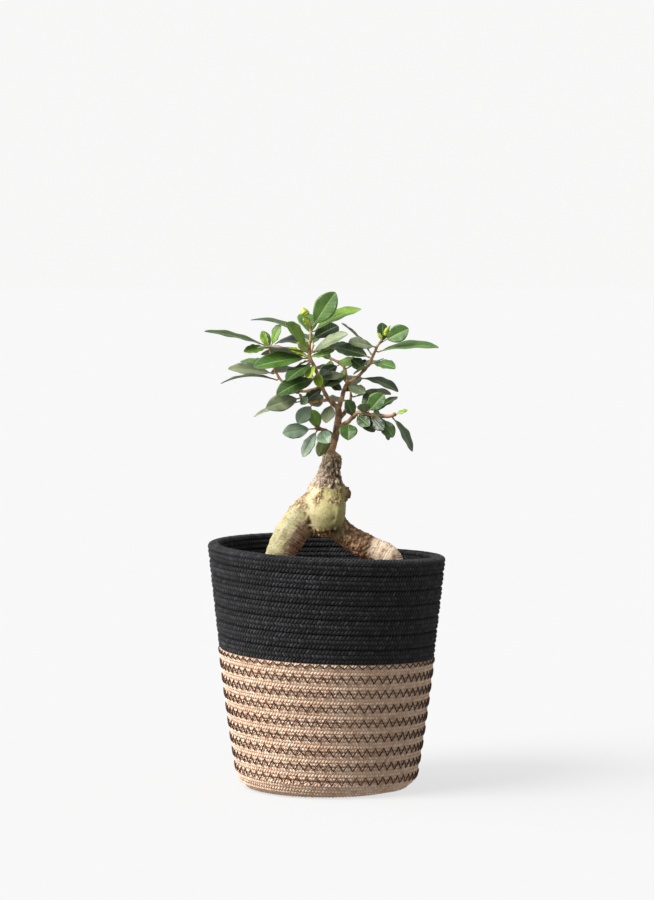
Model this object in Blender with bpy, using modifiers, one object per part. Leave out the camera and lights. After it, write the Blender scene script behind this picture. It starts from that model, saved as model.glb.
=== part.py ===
"""Small grafted fig bonsai in a plastic nursery pot, standing in a coiled rope basket.

Metres, +Z up. The origin is the centre of the basket's underside.
"""
import math

import bmesh
import bpy
from mathutils import Matrix, Vector

# Basket
BASKET_HEIGHT = 0.1612      # mean height of the rim
RIM_RADIUS = 0.0803         # outside, over the rope
FOOT_RADIUS = 0.0585        # outside, of the wall's line carried down to the ground
FOOT_ROUND = 0.0075         # radius of the rounded edge round the foot
FLARE = 0.78                # 1 is a straight cone, less swells the middle
ROPE_THICKNESS = 0.0080     # wall and floor
BLACK_DEPTH = 0.0700        # height of the black rope at the top
RIM_RISE = 0.0047           # the rim's lift at the left, and its drop at the right
TURN_STEPS = 40             # facets round every turned piece

# Nursery pot and soil
POT_HEIGHT = 0.1280
POT_RIM_SLACK = 0.0076      # room between the pot's rim and the basket's wall
POT_FOOT_SLACK = 0.0062     # the same at the floor
POT_WALL = 0.0014
POT_LIP = 0.0020            # how far the rolled rim stands out
POT_LIP_HEIGHT = 0.0050
DRAIN_RADIUS = 0.0070
SOIL_DROP = 0.0090          # soil level below the pot's rim
SOIL_CROWN = 0.0030         # the soil's rise towards the plant

# Plant
ROOTSTOCK_HEIGHT = 0.0970   # soil level to the graft
CROWN_SCALE = 1.0           # branches and leaves together
STEM_RADIUS = 0.0019
STEM_FOOT_RADIUS = 0.0031
MAIN_BRANCH_RADIUS = 0.0016
TWIG_RADIUS = 0.0012
TWIG_TIP_RADIUS = 0.0008
LEAF_THICKNESS = 0.0006
STALK_RADIUS = 0.0005
STALK_SHARE = 0.14          # share of a leaf that is its stalk
LEAF_FOLD = 0.2             # rise of a blade's edge over its midrib, per unit of width
BUD_LENGTH = 0.0075
BUD_RADIUS = 0.0016

GAP = 0.0003                # between pieces that touch
MERGE = 0.0001
MM = 0.001

GROWTH_GRAIN = 0.0016       # size of the cells that join the limbs
GROWTH_KEEP = 0.15          # share of their faces kept

FLOOR_TOP = ROPE_THICKNESS
POT_BASE = FLOOR_TOP + GAP
SOIL_LEVEL = POT_BASE + POT_HEIGHT - SOIL_DROP
BLACK_BASE = BASKET_HEIGHT - BLACK_DEPTH

# The rootstock's limbs, drawn 97 mm tall from the soil level, for a pot of 62 mm rim radius:
# x, y, z and radius in millimetres
DRAWN_HEIGHT = 0.097
DRAWN_POT_RADIUS = 0.062
LIMBS = {
    "left_leg": [(-5, -1, 66, 11), (-13, -2, 58, 11.6), (-21, -3, 49, 11.3), (-28, -5, 38, 10.8),
                 (-33, -6, 27, 10.2), (-37, -7, 14, 9.4), (-39, -8, 0, 8.5), (-40, -8, -16, 7)],
    "right_leg": [(2, 2, 56, 9), (8, 0, 47, 8.6), (16, -2, 41, 8.4), (26, -4, 35.5, 8.8),
                  (35, -5, 31.5, 9.3), (41, -6, 28, 9.5), (44, -7, 20, 9.2), (46, -8, 8, 8.6),
                  (46, -8, -16, 7)],
    "bulb": [(1, -1, 78, 9.5), (-2, -3, 69, 12.8), (-1.5, -5, 59, 13.9), (-2, -5, 52, 11),
             (-3, -5, 46.5, 5.5)],
    "neck": [(0, 0, 74, 11), (1, 0, 81, 9), (2, 0, 88, 7.4), (3, 0, 93, 7.1), (3, 0, 97, 7.0)],
    "knot": [(7, -2, 72, 5), (11.5, -2, 71, 3.6)],
}

# Branches, drawn from the graft: x, y, z in millimetres
CENTRE_STEM = [(3, 0, 0.2), (3, 0, 2), (4.5, 0, 7), (6.5, 0, 16), (8, 0, 26), (7.5, 0, 31)]
MAIN_BRANCHES = ("left", "right")
BRANCHES = {
    "left": [(7.5, 0, 31), (2, -2, 36.5), (-2, -4, 42.5), (-6, -6, 53), (-8.5, -7, 60),
             (-12, -8, 68), (-10.5, -8, 83), (-12.5, -8, 90)],
    "right": [(7.5, 0, 31), (10, 3, 37.5), (11.5, 5, 43), (13.5, 6, 47.5), (17, 4, 49.5),
              (21, 2, 52.5), (28, -1, 60.5), (31, -3, 66.5), (34, -5, 73.5), (37, -6, 77)],
    "back": [(13.5, 6, 47.5), (13, 9, 53), (11.5, 13, 58.5), (6, 17, 62.5), (2.5, 20, 64)],
    "low_right": [(7.5, 0, 18), (15, -5, 23), (21, -10, 29), (28.5, -14, 27.5), (40.5, -17, 26.5),
                  (45.5, -18, 28)],
    "low_left": [(5, 0, 12), (-1.5, -5, 16.5), (-7.5, -11, 18.5)],
    "mid_left": [(1, -3, 37), (-4, -7, 36.5), (-14, -13, 36), (-18, -15, 41)],
    "far_left": [(-3.5, -4.5, 46), (-14, 1, 42.5), (-25, 4, 43.5), (-29.5, 5, 48), (-35, 5, 56.5),
                 (-39, 3, 73)],
    "rear_left": [(-3.5, -4.5, 46), (-8, 5, 49.5), (-12, 14, 56), (-12, 23, 65), (-9, 29, 73)],
    "rear_low": [(8, 0, 24), (12, 9, 28), (16, 18, 34), (16, 26, 42)],
}

# Leaves on each branch: share along it, heading and rise in degrees, length and width in
# millimetres, roll about the midrib and bend along it in degrees
LEAVES = {
    "left": [
        (0.91, -14, 56, 30, 15.5, 88, 12), (0.88, 15, 24, 38, 15, 22, 34),
        (0.80, 40, 21, 26, 13, 44, 16), (0.66, -27, 25, 32, 13, 42, 20),
        (0.70, -134, 38, 29, 13, -68, 22), (0.78, 160, 19, 45, 13, -6, 50),
        (0.74, 144, 2, 29, 13, -22, 55), (0.68, -174, 5, 35, 12, -4, 12),
        (0.62, -167, -9, 39, 16.5, -36, 18), (0.56, -132, -24, 28, 13, -14, 20),
        (0.40, -147, -19, 35, 15, -34, 30),
        (0.10, -104, -42, 20, 9.5, 0, 15), (0.84, 100, 30, 30, 14, 0, 30),
    ],
    "right": [
        (0.79, 148, 41, 33, 13, 20, 22), (0.90, -147, 9, 23, 11, -44, 16),
        (0.76, 158, 15, 28, 13, -38, 14), (0.96, -15, 26, 22, 12, 84, 16),
        (0.84, -7, 4, 43, 14, 22, 30), (0.70, -36, -10, 21, 10, 30, 28),
        (0.48, -19, -19, 30, 13.5, 18, 34),
        (0.62, 72, 8, 30, 14, -6, 24),
    ],
    "back": [
        (0.30, -150, -12, 24, 11, -32, 16), (0.64, -158, -24, 17, 9, -60, 12),
        (0.90, -42, -6, 22, 10, 38, 18),
    ],
    "low_right": [
        (0.56, -15, 46, 18, 12, 84, 14), (0.65, 28, 31, 23, 10.5, 10, 24),
        (0.46, 36, 46, 20, 10, 32, 20),
        (0.42, -30, -44, 18, 9.5, 58, 22), (0.74, -20, -52, 18, 9.5, 66, 16),
        (0.95, 10, -60, 28, 12.5, 36, 22),
        (0.20, -90, -48, 16, 12.5, 0, 60),
    ],
    "low_left": [
        (0.98, -160, -8, 24, 11, -64, 18),
        (0.76, -66, -36, 15.5, 11, 28, 30), (0.88, -155, -60, 22, 10, -28, 26),
    ],
    "mid_left": [
        (0.90, -160, -14, 26, 12, -66, 22), (0.80, 170, -18, 36, 14, -16, 24),
        (0.45, -145, -44, 20, 10, -58, 14),
    ],
    "far_left": [
        (1.00, -170, 13, 45, 13, -18, 16), (0.98, -164, -8, 18, 8.5, -40, 26),
        (0.97, -48, 54, 19.5, 9.5, 82, 18), (0.66, -164, 6, 34, 13.5, -32, 16),
        (0.74, 150, 8, 27, 12, -18, 20), (0.58, 172, -4, 41, 12, -4, 46),
    ],
    "rear_left": [
        (1.00, 98, 12, 32, 15, 6, 22), (0.86, 34, 6, 32, 15, -26, 20),
        (0.78, 166, 2, 34, 15, 24, 26), (0.56, 62, -6, 28, 13, -12, 24),
        (0.50, 150, -4, 30, 14, 18, 30),
    ],
    "rear_low": [
        (1.00, 86, 18, 30, 14, 4, 24), (0.84, 24, 2, 30, 14, -22, 26),
        (0.70, 118, -2, 28, 13, 20, 28),
    ],
}

# Growing buds: branch, share along it, heading and rise in degrees
BUDS = {
    "bud_top": ("left", 1.0, 170, 70),
    "bud_left": ("left", 0.74, -165, 16),
    "bud_right": ("right", 1.0, 20, 58),
}

COLOURS = {
    "jute_rope": ((0.56, 0.37, 0.25), 0.9),
    "black_rope": ((0.021, 0.021, 0.025), 0.9),
    "nursery_plastic": ((0.02, 0.02, 0.02), 0.5),
    "potting_soil": ((0.05, 0.03, 0.02), 0.95),
    "root_bark": ((0.55, 0.47, 0.24), 0.6),
    "branch_bark": ((0.34, 0.2, 0.12), 0.7),
    "leaf_green": ((0.06, 0.16, 0.045), 0.35),
    "bud_green": ((0.5, 0.62, 0.06), 0.4),
}


def clear_scene():
    for old in list(bpy.data.objects):
        bpy.data.objects.remove(old)


def new_collection(name):
    collection = bpy.data.collections.new(name)
    bpy.context.scene.collection.children.link(collection)
    return collection


def new_material(name, finish):
    colour, roughness = COLOURS[finish]
    material = bpy.data.materials.new(name)
    material.use_nodes = True
    shader = material.node_tree.nodes["Principled BSDF"]
    shader.inputs["Base Color"].default_value = (*colour, 1.0)
    shader.inputs["Roughness"].default_value = roughness
    material.diffuse_color = (*colour, 1.0)
    return material


def add_object(name, data, collection, finish=None):
    piece = bpy.data.objects.new(name, data)
    collection.objects.link(piece)
    if finish:
        piece.data.materials.clear()
        piece.data.materials.append(new_material(f"{name}_{finish}", finish))
    return piece


def add_guide(data):
    """A helper that is used up before the build ends."""
    return add_object("guide", data, bpy.context.scene.collection)


def evaluated_mesh(piece):
    bpy.context.view_layer.update()
    evaluated = piece.evaluated_get(bpy.context.evaluated_depsgraph_get())
    return bpy.data.meshes.new_from_object(evaluated)


def finished_mesh(guide):
    """The guide's mesh with its modifiers applied; the guide itself is removed."""
    mesh = evaluated_mesh(guide)
    bpy.data.objects.remove(guide)
    return mesh


def edit_mesh(mesh, change):
    shape = bmesh.new()
    shape.from_mesh(mesh)
    change(shape)
    shape.to_mesh(mesh)
    shape.free()
    mesh.update()


def weld(mesh):
    edit_mesh(mesh, lambda shape: bmesh.ops.remove_doubles(shape, verts=shape.verts, dist=MERGE / 10))


def smooth(piece, angle=40):
    piece.data.shade_smooth()
    piece.data.set_sharp_from_angle(angle=math.radians(angle))


# ---- turned pieces ----

def turned_mesh(profile, closed):
    """Turn a profile of (radius, height) points about Z. It runs down the outside."""
    line = bpy.data.meshes.new("profile")
    edges = [(i, i + 1) for i in range(len(profile) - 1)]
    if closed:
        edges.append((len(profile) - 1, 0))
    line.from_pydata([(radius, 0.0, height) for radius, height in profile], edges, [])
    guide = add_guide(line)
    screw = guide.modifiers.new("turn", "SCREW")
    screw.steps = TURN_STEPS
    screw.render_steps = TURN_STEPS
    screw.use_merge_vertices = True
    screw.merge_threshold = MERGE
    mesh = finished_mesh(guide)
    bpy.data.meshes.remove(line)
    return mesh


def basket_radius(height):
    """Outside radius of the basket's wall."""
    share = max(height, 0.0) / BASKET_HEIGHT
    return FOOT_RADIUS + (RIM_RADIUS - FOOT_RADIUS) * share ** FLARE


def arc(centre, radius, start, end, steps):
    """Points on an arc, angles in degrees."""
    points = []
    for step in range(steps + 1):
        angle = math.radians(start + (end - start) * step / steps)
        points.append((centre[0] + radius * math.cos(angle), centre[1] + radius * math.sin(angle)))
    return points


def wall_heights(low, high, count):
    return [low + (high - low) * step / count for step in range(count + 1)]


def lean(mesh):
    """Lift the left of the wall and drop the right, more towards the rim."""
    for vertex in mesh.vertices:
        share = vertex.co.z / BASKET_HEIGHT
        vertex.co.z -= RIM_RISE * share * vertex.co.x / RIM_RADIUS


def jute_basket(collection):
    """Floor and lower wall: one cup, open at the top."""
    top = BLACK_BASE - GAP
    outside = [(basket_radius(z), z) for z in reversed(wall_heights(FOOT_ROUND, top, 5)[1:])]
    foot_centre = (basket_radius(FOOT_ROUND) - FOOT_ROUND, FOOT_ROUND)
    foot = arc(foot_centre, FOOT_ROUND, 0, -90, 3)
    inside_low = FLOOR_TOP + FOOT_ROUND / 2
    inside = [(basket_radius(z) - ROPE_THICKNESS, z) for z in wall_heights(inside_low, top, 3)]
    floor = [(0.0, FLOOR_TOP), (inside[0][0] - FOOT_ROUND / 2, FLOOR_TOP)]
    mesh = turned_mesh(floor + inside + outside + foot + [(0.0, 0.0)], closed=False)
    lean(mesh)
    smooth(add_object("jute_basket", mesh, collection, "jute_rope"))


def black_basket(collection):
    """Upper wall with a rolled rim."""
    roll = ROPE_THICKNESS / 2
    centre = basket_radius(BASKET_HEIGHT) - roll
    heights = wall_heights(BLACK_BASE, BASKET_HEIGHT - roll, 3)
    outside = [(basket_radius(z), z) for z in reversed(heights[:-1])]
    inside = [(basket_radius(z) - ROPE_THICKNESS, z) for z in heights[:-1]]
    rim = arc((centre, BASKET_HEIGHT - roll), roll, 180, 0, 6)
    mesh = turned_mesh(outside + inside + rim, closed=True)
    lean(mesh)
    smooth(add_object("black_basket", mesh, collection, "black_rope"))


def pot_rim_radius():
    return basket_radius(POT_BASE + POT_HEIGHT) - ROPE_THICKNESS - POT_RIM_SLACK


def pot_radius(height):
    """Outside radius of the nursery pot's wall, height from its own base."""
    foot = basket_radius(POT_BASE) - ROPE_THICKNESS - POT_FOOT_SLACK
    return foot + (pot_rim_radius() - POT_LIP - foot) * height / POT_HEIGHT


def nursery_pot(collection):
    lip_low = POT_HEIGHT - POT_LIP_HEIGHT
    rim = pot_rim_radius()
    profile = [
        (rim, POT_HEIGHT), (rim, lip_low), (pot_radius(lip_low), lip_low),
        (pot_radius(0.0), 0.0), (DRAIN_RADIUS, 0.0), (DRAIN_RADIUS, POT_WALL),
        (pot_radius(0.0) - POT_WALL, POT_WALL), (pot_radius(POT_HEIGHT) - POT_WALL, POT_HEIGHT),
    ]
    mesh = turned_mesh(profile, closed=True)
    mesh.transform(Matrix.Translation((0.0, 0.0, POT_BASE)))
    smooth(add_object("nursery_pot", mesh, collection, "nursery_plastic"))


def soil(collection, rootstock):
    """Fills the pot to its level, with a socket round each leg."""
    top = SOIL_LEVEL - POT_BASE
    base = POT_WALL + GAP
    edge = pot_radius(top) - POT_WALL - GAP
    profile = [
        (0.0, top + SOIL_CROWN), (edge * 0.35, top + SOIL_CROWN * 0.8),
        (edge * 0.7, top + SOIL_CROWN * 0.2), (edge, top),
        (pot_radius(base) - POT_WALL - GAP, base), (0.0, base),
    ]
    mesh = turned_mesh(profile, closed=False)
    mesh.transform(Matrix.Translation((0.0, 0.0, POT_BASE)))
    piece = add_object("soil", mesh, collection, "potting_soil")
    cutters = new_collection("cutters")
    socket = add_object("leg_socket", rootstock.data.copy(), cutters)
    for vertex in socket.data.vertices:
        vertex.co += vertex.normal * GAP
    socket.hide_render = True
    socket.display_type = "WIRE"
    cut = piece.modifiers.new("sockets", "BOOLEAN")
    cut.object = socket
    cut.operation = "DIFFERENCE"
    cut.solver = "EXACT"
    smooth(piece)


# ---- wood ----

def tube(points, radii, resolution=2):
    """A closed tube along points, its ends capped."""
    curve = bpy.data.curves.new("tube", "CURVE")
    curve.dimensions = "3D"
    curve.bevel_depth = 1.0
    curve.bevel_resolution = resolution
    curve.use_fill_caps = True
    spline = curve.splines.new("POLY")
    spline.points.add(len(points) - 1)
    for knot, place, radius in zip(spline.points, points, radii):
        knot.co = (*place, 1.0)
        knot.radius = radius
    mesh = finished_mesh(add_guide(curve))
    bpy.data.curves.remove(curve)
    weld(mesh)
    return mesh


def through(points, steps):
    """A smooth line through the points: Catmull-Rom, steps to each stretch."""
    ends = [points[0] * 2 - points[1]] + points + [points[-1] * 2 - points[-2]]
    line = []
    for i in range(1, len(ends) - 2):
        a, b, c, d = ends[i - 1:i + 3]
        for step in range(steps):
            t = step / steps
            line.append(0.5 * ((2 * b) + (c - a) * t + (2 * a - 5 * b + 4 * c - d) * t * t
                               + (3 * b - a - 3 * c + d) * t ** 3))
    line.append(points[-1])
    return line


def rootstock_piece(collection):
    """Two legs, a bulb, a neck and a knot, grown together as one solid."""
    spread = pot_rim_radius() / DRAWN_POT_RADIUS * MM
    height = ROOTSTOCK_HEIGHT / DRAWN_HEIGHT * MM
    shape = bmesh.new()
    for limb in LIMBS.values():
        centres = [Vector((x * spread, y * spread, SOIL_LEVEL + z * height)) for x, y, z, _ in limb]
        radii = [Vector((knot[3] * spread, 0.0, 0.0)) for knot in limb]
        for centre, radius in zip(through(centres, 4), through(radii, 4)):
            ball = bmesh.ops.create_icosphere(shape, subdivisions=2, radius=radius.x)
            bmesh.ops.translate(shape, verts=ball["verts"], vec=centre)
    mesh = bpy.data.meshes.new("rootstock")
    shape.to_mesh(mesh)
    shape.free()
    guide = add_guide(mesh)
    remesh = guide.modifiers.new("grow", "REMESH")
    remesh.mode = "VOXEL"
    remesh.voxel_size = GROWTH_GRAIN
    settle = guide.modifiers.new("settle", "SMOOTH")
    settle.factor = 0.5
    settle.iterations = 6
    thin = guide.modifiers.new("thin", "DECIMATE")
    thin.ratio = GROWTH_KEEP
    solid = finished_mesh(guide)

    def level_top(work):
        graft = SOIL_LEVEL + ROOTSTOCK_HEIGHT
        plane = {"plane_co": (0.0, 0.0, graft), "plane_no": (0.0, 0.0, 1.0)}
        everything = work.verts[:] + work.edges[:] + work.faces[:]
        bmesh.ops.bisect_plane(work, geom=everything, clear_outer=True, **plane)
        bmesh.ops.holes_fill(work, edges=[edge for edge in work.edges if edge.is_boundary], sides=0)
        bmesh.ops.triangulate(work, faces=work.faces)
        bmesh.ops.recalc_face_normals(work, faces=work.faces)

    edit_mesh(solid, level_top)
    piece = add_object("rootstock", solid, collection, "root_bark")
    smooth(piece, 60)
    return piece


def graft_point():
    return Vector((0.0, 0.0, SOIL_LEVEL + ROOTSTOCK_HEIGHT + GAP))


def route(points):
    """A branch's smooth line in the world."""
    return through([graft_point() + Vector(point) * MM * CROWN_SCALE for point in points], 2)


def tapered(count, start, end):
    return [start + (end - start) * step / (count - 1) for step in range(count)]


def branch_radius(name, share):
    """Radius of a branch at a share of its length."""
    thick = MAIN_BRANCH_RADIUS if name in MAIN_BRANCHES else TWIG_RADIUS
    return thick + (TWIG_TIP_RADIUS - thick) * share


def stem_piece(collection):
    """The grafted stem and its branches, one grown piece of wood."""
    line = route(CENTRE_STEM)
    foot = [STEM_FOOT_RADIUS, STEM_FOOT_RADIUS, STEM_FOOT_RADIUS * 0.8]
    radii = foot + tapered(len(line) - len(foot), STEM_RADIUS * 1.1, STEM_RADIUS)
    piece = add_object("stem", tube(line, radii), collection, "branch_bark")
    for name, points in BRANCHES.items():
        line = route(points)
        limb = tube(line, tapered(len(line), branch_radius(name, 0.0), branch_radius(name, 1.0)))
        guide = add_guide(limb)
        join = piece.modifiers.new("join", "BOOLEAN")
        join.object = guide
        join.operation = "UNION"
        join.solver = "EXACT"
        joined = evaluated_mesh(piece)
        piece.modifiers.remove(join)
        bpy.data.objects.remove(guide)
        piece.data = joined
    smooth(piece, 60)


# ---- leaves and buds ----

def place_on(branch, share):
    """The point and direction at a share of a branch's length."""
    line = route(BRANCHES[branch])
    lengths = [(b - a).length for a, b in zip(line, line[1:])]
    left = share * sum(lengths)
    for (a, b), length in zip(zip(line, line[1:]), lengths):
        if left <= length:
            return a.lerp(b, left / length), (b - a).normalized()
        left -= length
    return line[-1], (line[-1] - line[-2]).normalized()


def heading_vector(heading, rise):
    flat = math.cos(math.radians(rise))
    turn = math.radians(heading)
    return Vector((flat * math.cos(turn), flat * math.sin(turn), math.sin(math.radians(rise))))


def clear_start(forward, along, radius):
    """How far from a branch's centre line a stalk of its own radius starts, clear of the bark."""
    cosine = abs(forward.dot(along))
    sine = max(math.sqrt(1.0 - cosine * cosine), 0.5)
    return (radius + GAP + STALK_RADIUS * (1.0 + cosine)) / sine


def blade_width(share):
    """Half width over the full half width, along the blade: egg-shaped, blunt at the tip."""
    return math.sin(math.pi * share ** 1.1) ** 0.72 if 0.0 < share < 1.0 else 0.0


def leaf(name, root, forward, start, length, width, roll, bend, collection):
    """A stalk and a blade from one sheet, bent in an arc over the straight line to its tip."""
    up = (Vector((0.0, 0.0, 1.0)) - forward * forward.z).normalized()
    up = Matrix.Rotation(math.radians(roll), 3, forward) @ up
    side = up.cross(forward)
    reach = length - start
    half = math.radians(max(bend, 1.0)) / 2
    sweep = reach / (2 * math.sin(half))
    shape = bmesh.new()
    bmesh.ops.create_grid(shape, x_segments=8, y_segments=2, size=1.0)
    for vertex in shape.verts:
        share = (vertex.co.x + 1.0) / 2
        across = vertex.co.y
        angle = half * (2 * share - 1)
        centre = forward * sweep * (math.sin(half) + math.sin(angle))
        centre += up * sweep * (math.cos(angle) - math.cos(half))
        normal = up * math.cos(angle) + forward * math.sin(angle)
        blade = (share - STALK_SHARE) / (1.0 - STALK_SHARE)
        spread = max(STALK_RADIUS, width / 2 * blade_width(blade))
        fold = normal * abs(across) * spread * LEAF_FOLD if blade > 0 else Vector()
        vertex.co = root + forward * start + centre + side * across * spread + fold
    mesh = bpy.data.meshes.new(name)
    shape.to_mesh(mesh)
    shape.free()
    piece = add_object(name, mesh, collection, "leaf_green")
    wall = piece.modifiers.new("thickness", "SOLIDIFY")
    wall.thickness = LEAF_THICKNESS
    wall.offset = 0.0
    smooth(piece, 50)


def all_leaves(collection):
    for branch, rows in LEAVES.items():
        for number, row in enumerate(rows, start=1):
            share, heading, rise, length, width, roll, bend = row
            root, along = place_on(branch, share)
            forward = heading_vector(heading, rise)
            start = clear_start(forward, along, branch_radius(branch, share))
            name = f"{branch}_leaf_{number:02d}"
            size = MM * CROWN_SCALE
            leaf(name, root, forward, start, length * size, width * size, roll, bend, collection)


def bud(name, branch, share, heading, rise, collection):
    """A slim pointed bud, sharp at both ends."""
    root, along = place_on(branch, share)
    forward = heading_vector(heading, rise)
    start = clear_start(forward, along, branch_radius(branch, share)) + GAP
    stations = 7
    points = [root + forward * (start + BUD_LENGTH * i / (stations - 1)) for i in range(stations)]
    radii = [BUD_RADIUS * max(math.sin(math.pi * (i / (stations - 1)) ** 0.8), 0.12)
             for i in range(stations)]
    smooth(add_object(name, tube(points, radii), collection, "bud_green"), 60)


def build():
    clear_scene()
    collection = new_collection("bonsai_in_rope_basket")
    jute_basket(collection)
    black_basket(collection)
    nursery_pot(collection)
    rootstock = rootstock_piece(collection)
    soil(collection, rootstock)
    stem_piece(collection)
    all_leaves(collection)
    for name, (branch, share, heading, rise) in BUDS.items():
        bud(name, branch, share, heading, rise, collection)


build()
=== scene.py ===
import math
import random

import bmesh
import bpy
import numpy as np
from mathutils import Matrix, Vector, noise
from mathutils.bvhtree import BVHTree
from mathutils.kdtree import KDTree


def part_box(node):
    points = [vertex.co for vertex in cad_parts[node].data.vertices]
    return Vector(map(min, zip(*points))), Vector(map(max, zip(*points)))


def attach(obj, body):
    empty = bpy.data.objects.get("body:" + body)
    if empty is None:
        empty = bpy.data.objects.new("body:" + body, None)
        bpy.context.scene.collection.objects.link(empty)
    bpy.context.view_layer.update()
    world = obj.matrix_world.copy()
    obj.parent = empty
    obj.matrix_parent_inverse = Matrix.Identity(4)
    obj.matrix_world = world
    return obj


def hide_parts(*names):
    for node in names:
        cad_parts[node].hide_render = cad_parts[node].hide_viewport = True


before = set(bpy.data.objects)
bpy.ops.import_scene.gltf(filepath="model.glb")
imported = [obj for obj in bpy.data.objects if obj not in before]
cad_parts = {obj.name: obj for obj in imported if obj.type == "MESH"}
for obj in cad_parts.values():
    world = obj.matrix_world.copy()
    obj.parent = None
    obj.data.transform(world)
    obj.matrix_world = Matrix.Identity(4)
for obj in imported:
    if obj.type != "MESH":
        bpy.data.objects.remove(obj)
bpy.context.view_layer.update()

# Lengths in the dictionaries are millimetres unless a note says otherwise; Blender gets metres.
mm = 0.001
scene = bpy.context.scene


def tint(red, green, blue):
    # a colour on the 0-255 scale, as Blender's linear values
    shares = [part / 255 for part in (red, green, blue)]
    return tuple(s / 12.92 if s <= 0.04045 else ((s + 0.055) / 1.055) ** 2.4 for s in shares)


def ease(low, high, value):
    share = np.clip((value - low) / (high - low), 0, 1)
    return share * share * (3 - 2 * share)


def unit(vectors):
    return vectors / np.maximum(np.linalg.norm(vectors, axis=-1, keepdims=True), 1e-12)


def signedPower(values, power):
    return np.sign(values) * np.abs(values) ** power


def fade(distance, reach, power=2):
    # 1 at no distance, running out at about the reach
    return np.exp(-(distance / reach) ** power)


def roundAngles(count):
    return np.arange(count) * 2 * math.pi / count


def newMesh(name, points, faces, edges=()):
    mesh = bpy.data.meshes.new(name)
    mesh.from_pydata(np.asarray(points).tolist(), list(edges), [list(map(int, face)) for face in faces])
    return mesh


def closeUp(mesh, weld=1e-6):
    shape = bmesh.new()
    shape.from_mesh(mesh)
    bmesh.ops.remove_doubles(shape, verts=shape.verts, dist=weld)
    bmesh.ops.dissolve_degenerate(shape, edges=shape.edges, dist=weld / 10)
    bmesh.ops.recalc_face_normals(shape, faces=shape.faces)
    shape.to_mesh(mesh)
    shape.free()
    mesh.update()
    return mesh


def newObject(mesh, name="helper"):
    item = bpy.data.objects.new(name, mesh)
    scene.collection.objects.link(item)
    return item


def newPiece(name, mesh, material, nodes=()):
    mesh.shade_smooth()
    mesh.materials.clear()
    mesh.materials.append(material)
    piece = newObject(mesh, name)
    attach(piece, "root")
    if nodes:
        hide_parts(*nodes)


def finishedMesh(helper):
    # the helper's mesh with its modifiers applied; the helper goes
    bpy.context.view_layer.update()
    evaluated = helper.evaluated_get(bpy.context.evaluated_depsgraph_get())
    mesh = bpy.data.meshes.new_from_object(evaluated)
    bpy.data.objects.remove(helper)
    return mesh


def meshPoints(mesh):
    points = np.empty(len(mesh.vertices) * 3)
    mesh.vertices.foreach_get("co", points)
    return points.reshape(-1, 3)


def meshNormals(mesh):
    normals = np.empty(len(mesh.vertices) * 3, np.float32)
    mesh.vertex_normals.foreach_get("vector", normals)
    return normals.reshape(-1, 3).astype(float)


def movePoints(mesh, points):
    mesh.vertices.foreach_set("co", np.asarray(points, np.float32).ravel())
    mesh.update()


def nodePoints(node):
    # a CAD node's corners, each once
    return np.unique(np.round(meshPoints(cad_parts[node].data), 7), axis=0)


def boxOf(node):
    # a node's lowest and highest corner in millimetres
    return [np.array(corner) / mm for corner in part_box(node)]


def footReach(node, margin):
    # how far the lowest corners of a turned node stand from its axis
    corners = nodePoints(node) / mm
    reach = np.hypot(corners[:, 0], corners[:, 1])
    return reach[corners[:, 2] < boxOf(node)[0][2] + margin].max()


def noiseAt(points, size, seed=0.0):
    # smooth noise from -1 to 1 whose lumps are about `size` across, in the points' own unit
    shift = Vector((seed * 13.7, seed * 7.3, seed * 3.1))
    return np.array([noise.noise(Vector(point) / size + shift) for point in points])


def storeValues(mesh, name, values, kind="FLOAT", key="value"):
    layer = mesh.attributes.new(name, kind, "POINT")
    layer.data.foreach_set(key, np.asarray(values, np.float32).ravel())


def storeVectors(mesh, name, values):
    storeValues(mesh, name, values, "FLOAT_VECTOR", "vector")


def storeColours(mesh, name, colours):
    full = np.concatenate([np.clip(colours, 0, 1), np.ones((len(colours), 1))], axis=1)
    storeValues(mesh, name, full, "FLOAT_COLOR", "color")


def gridFaces(rows, columns, closedColumns=False, start=0):
    row, column = np.divmod(np.arange((rows - 1) * (columns - (not closedColumns))),
                            columns - (not closedColumns))
    following = (column + 1) % columns
    corners = [row * columns + column, row * columns + following,
               (row + 1) * columns + following, (row + 1) * columns + column]
    return [tuple(face) for face in np.stack(corners, axis=1) + start]


def tubeFaces(rings, around, start=0):
    # a tube's sides and both its ends
    faces = gridFaces(rings, around, closedColumns=True, start=start)
    for first in (start, start + (rings - 1) * around):
        faces.append(tuple(range(first, first + around)))
    return faces


def turnedMesh(name, outline, steps=96):
    # a closed outline of (radius, height) points turned round the upright axis
    outline, angles = np.array(outline), roundAngles(steps)
    points = np.stack([np.outer(np.cos(angles), outline[:, 0]), np.outer(np.sin(angles), outline[:, 0]),
                       np.tile(outline[:, 1], (steps, 1))], axis=2)
    count = len(outline)
    step, place = np.divmod(np.arange(steps * count), count)
    following, after = (step + 1) % steps * count, (place + 1) % count
    corners = [step * count + place, step * count + after, following + after, following + place]
    return closeUp(newMesh(name, points.reshape(-1, 3), np.stack(corners, axis=1)))


def plug(socket, value):
    # joins a field to an input, or sets the input's own value
    if isinstance(value, Field):
        socket.id_data.links.new(value.socket, socket)
    elif socket.type == "RGBA":
        socket.default_value = (*value[:3], 1)
    else:
        socket.default_value = value


def addNode(tree, kind, settings=None, **inputs):
    # inputs go by name, with _ for a space, or by number, as in i0
    node = tree.nodes.new(kind)
    for key, value in (settings or {}).items():
        setattr(node, key, value)
    for key, value in inputs.items():
        plug(node.inputs[int(key[1:]) if key[1:].isdigit() else key.replace("_", " ")], value)
    return node


def newField(tree, kind, settings=None, output=0, **inputs):
    return Field(addNode(tree, kind, settings, **inputs).outputs[output])


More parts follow.
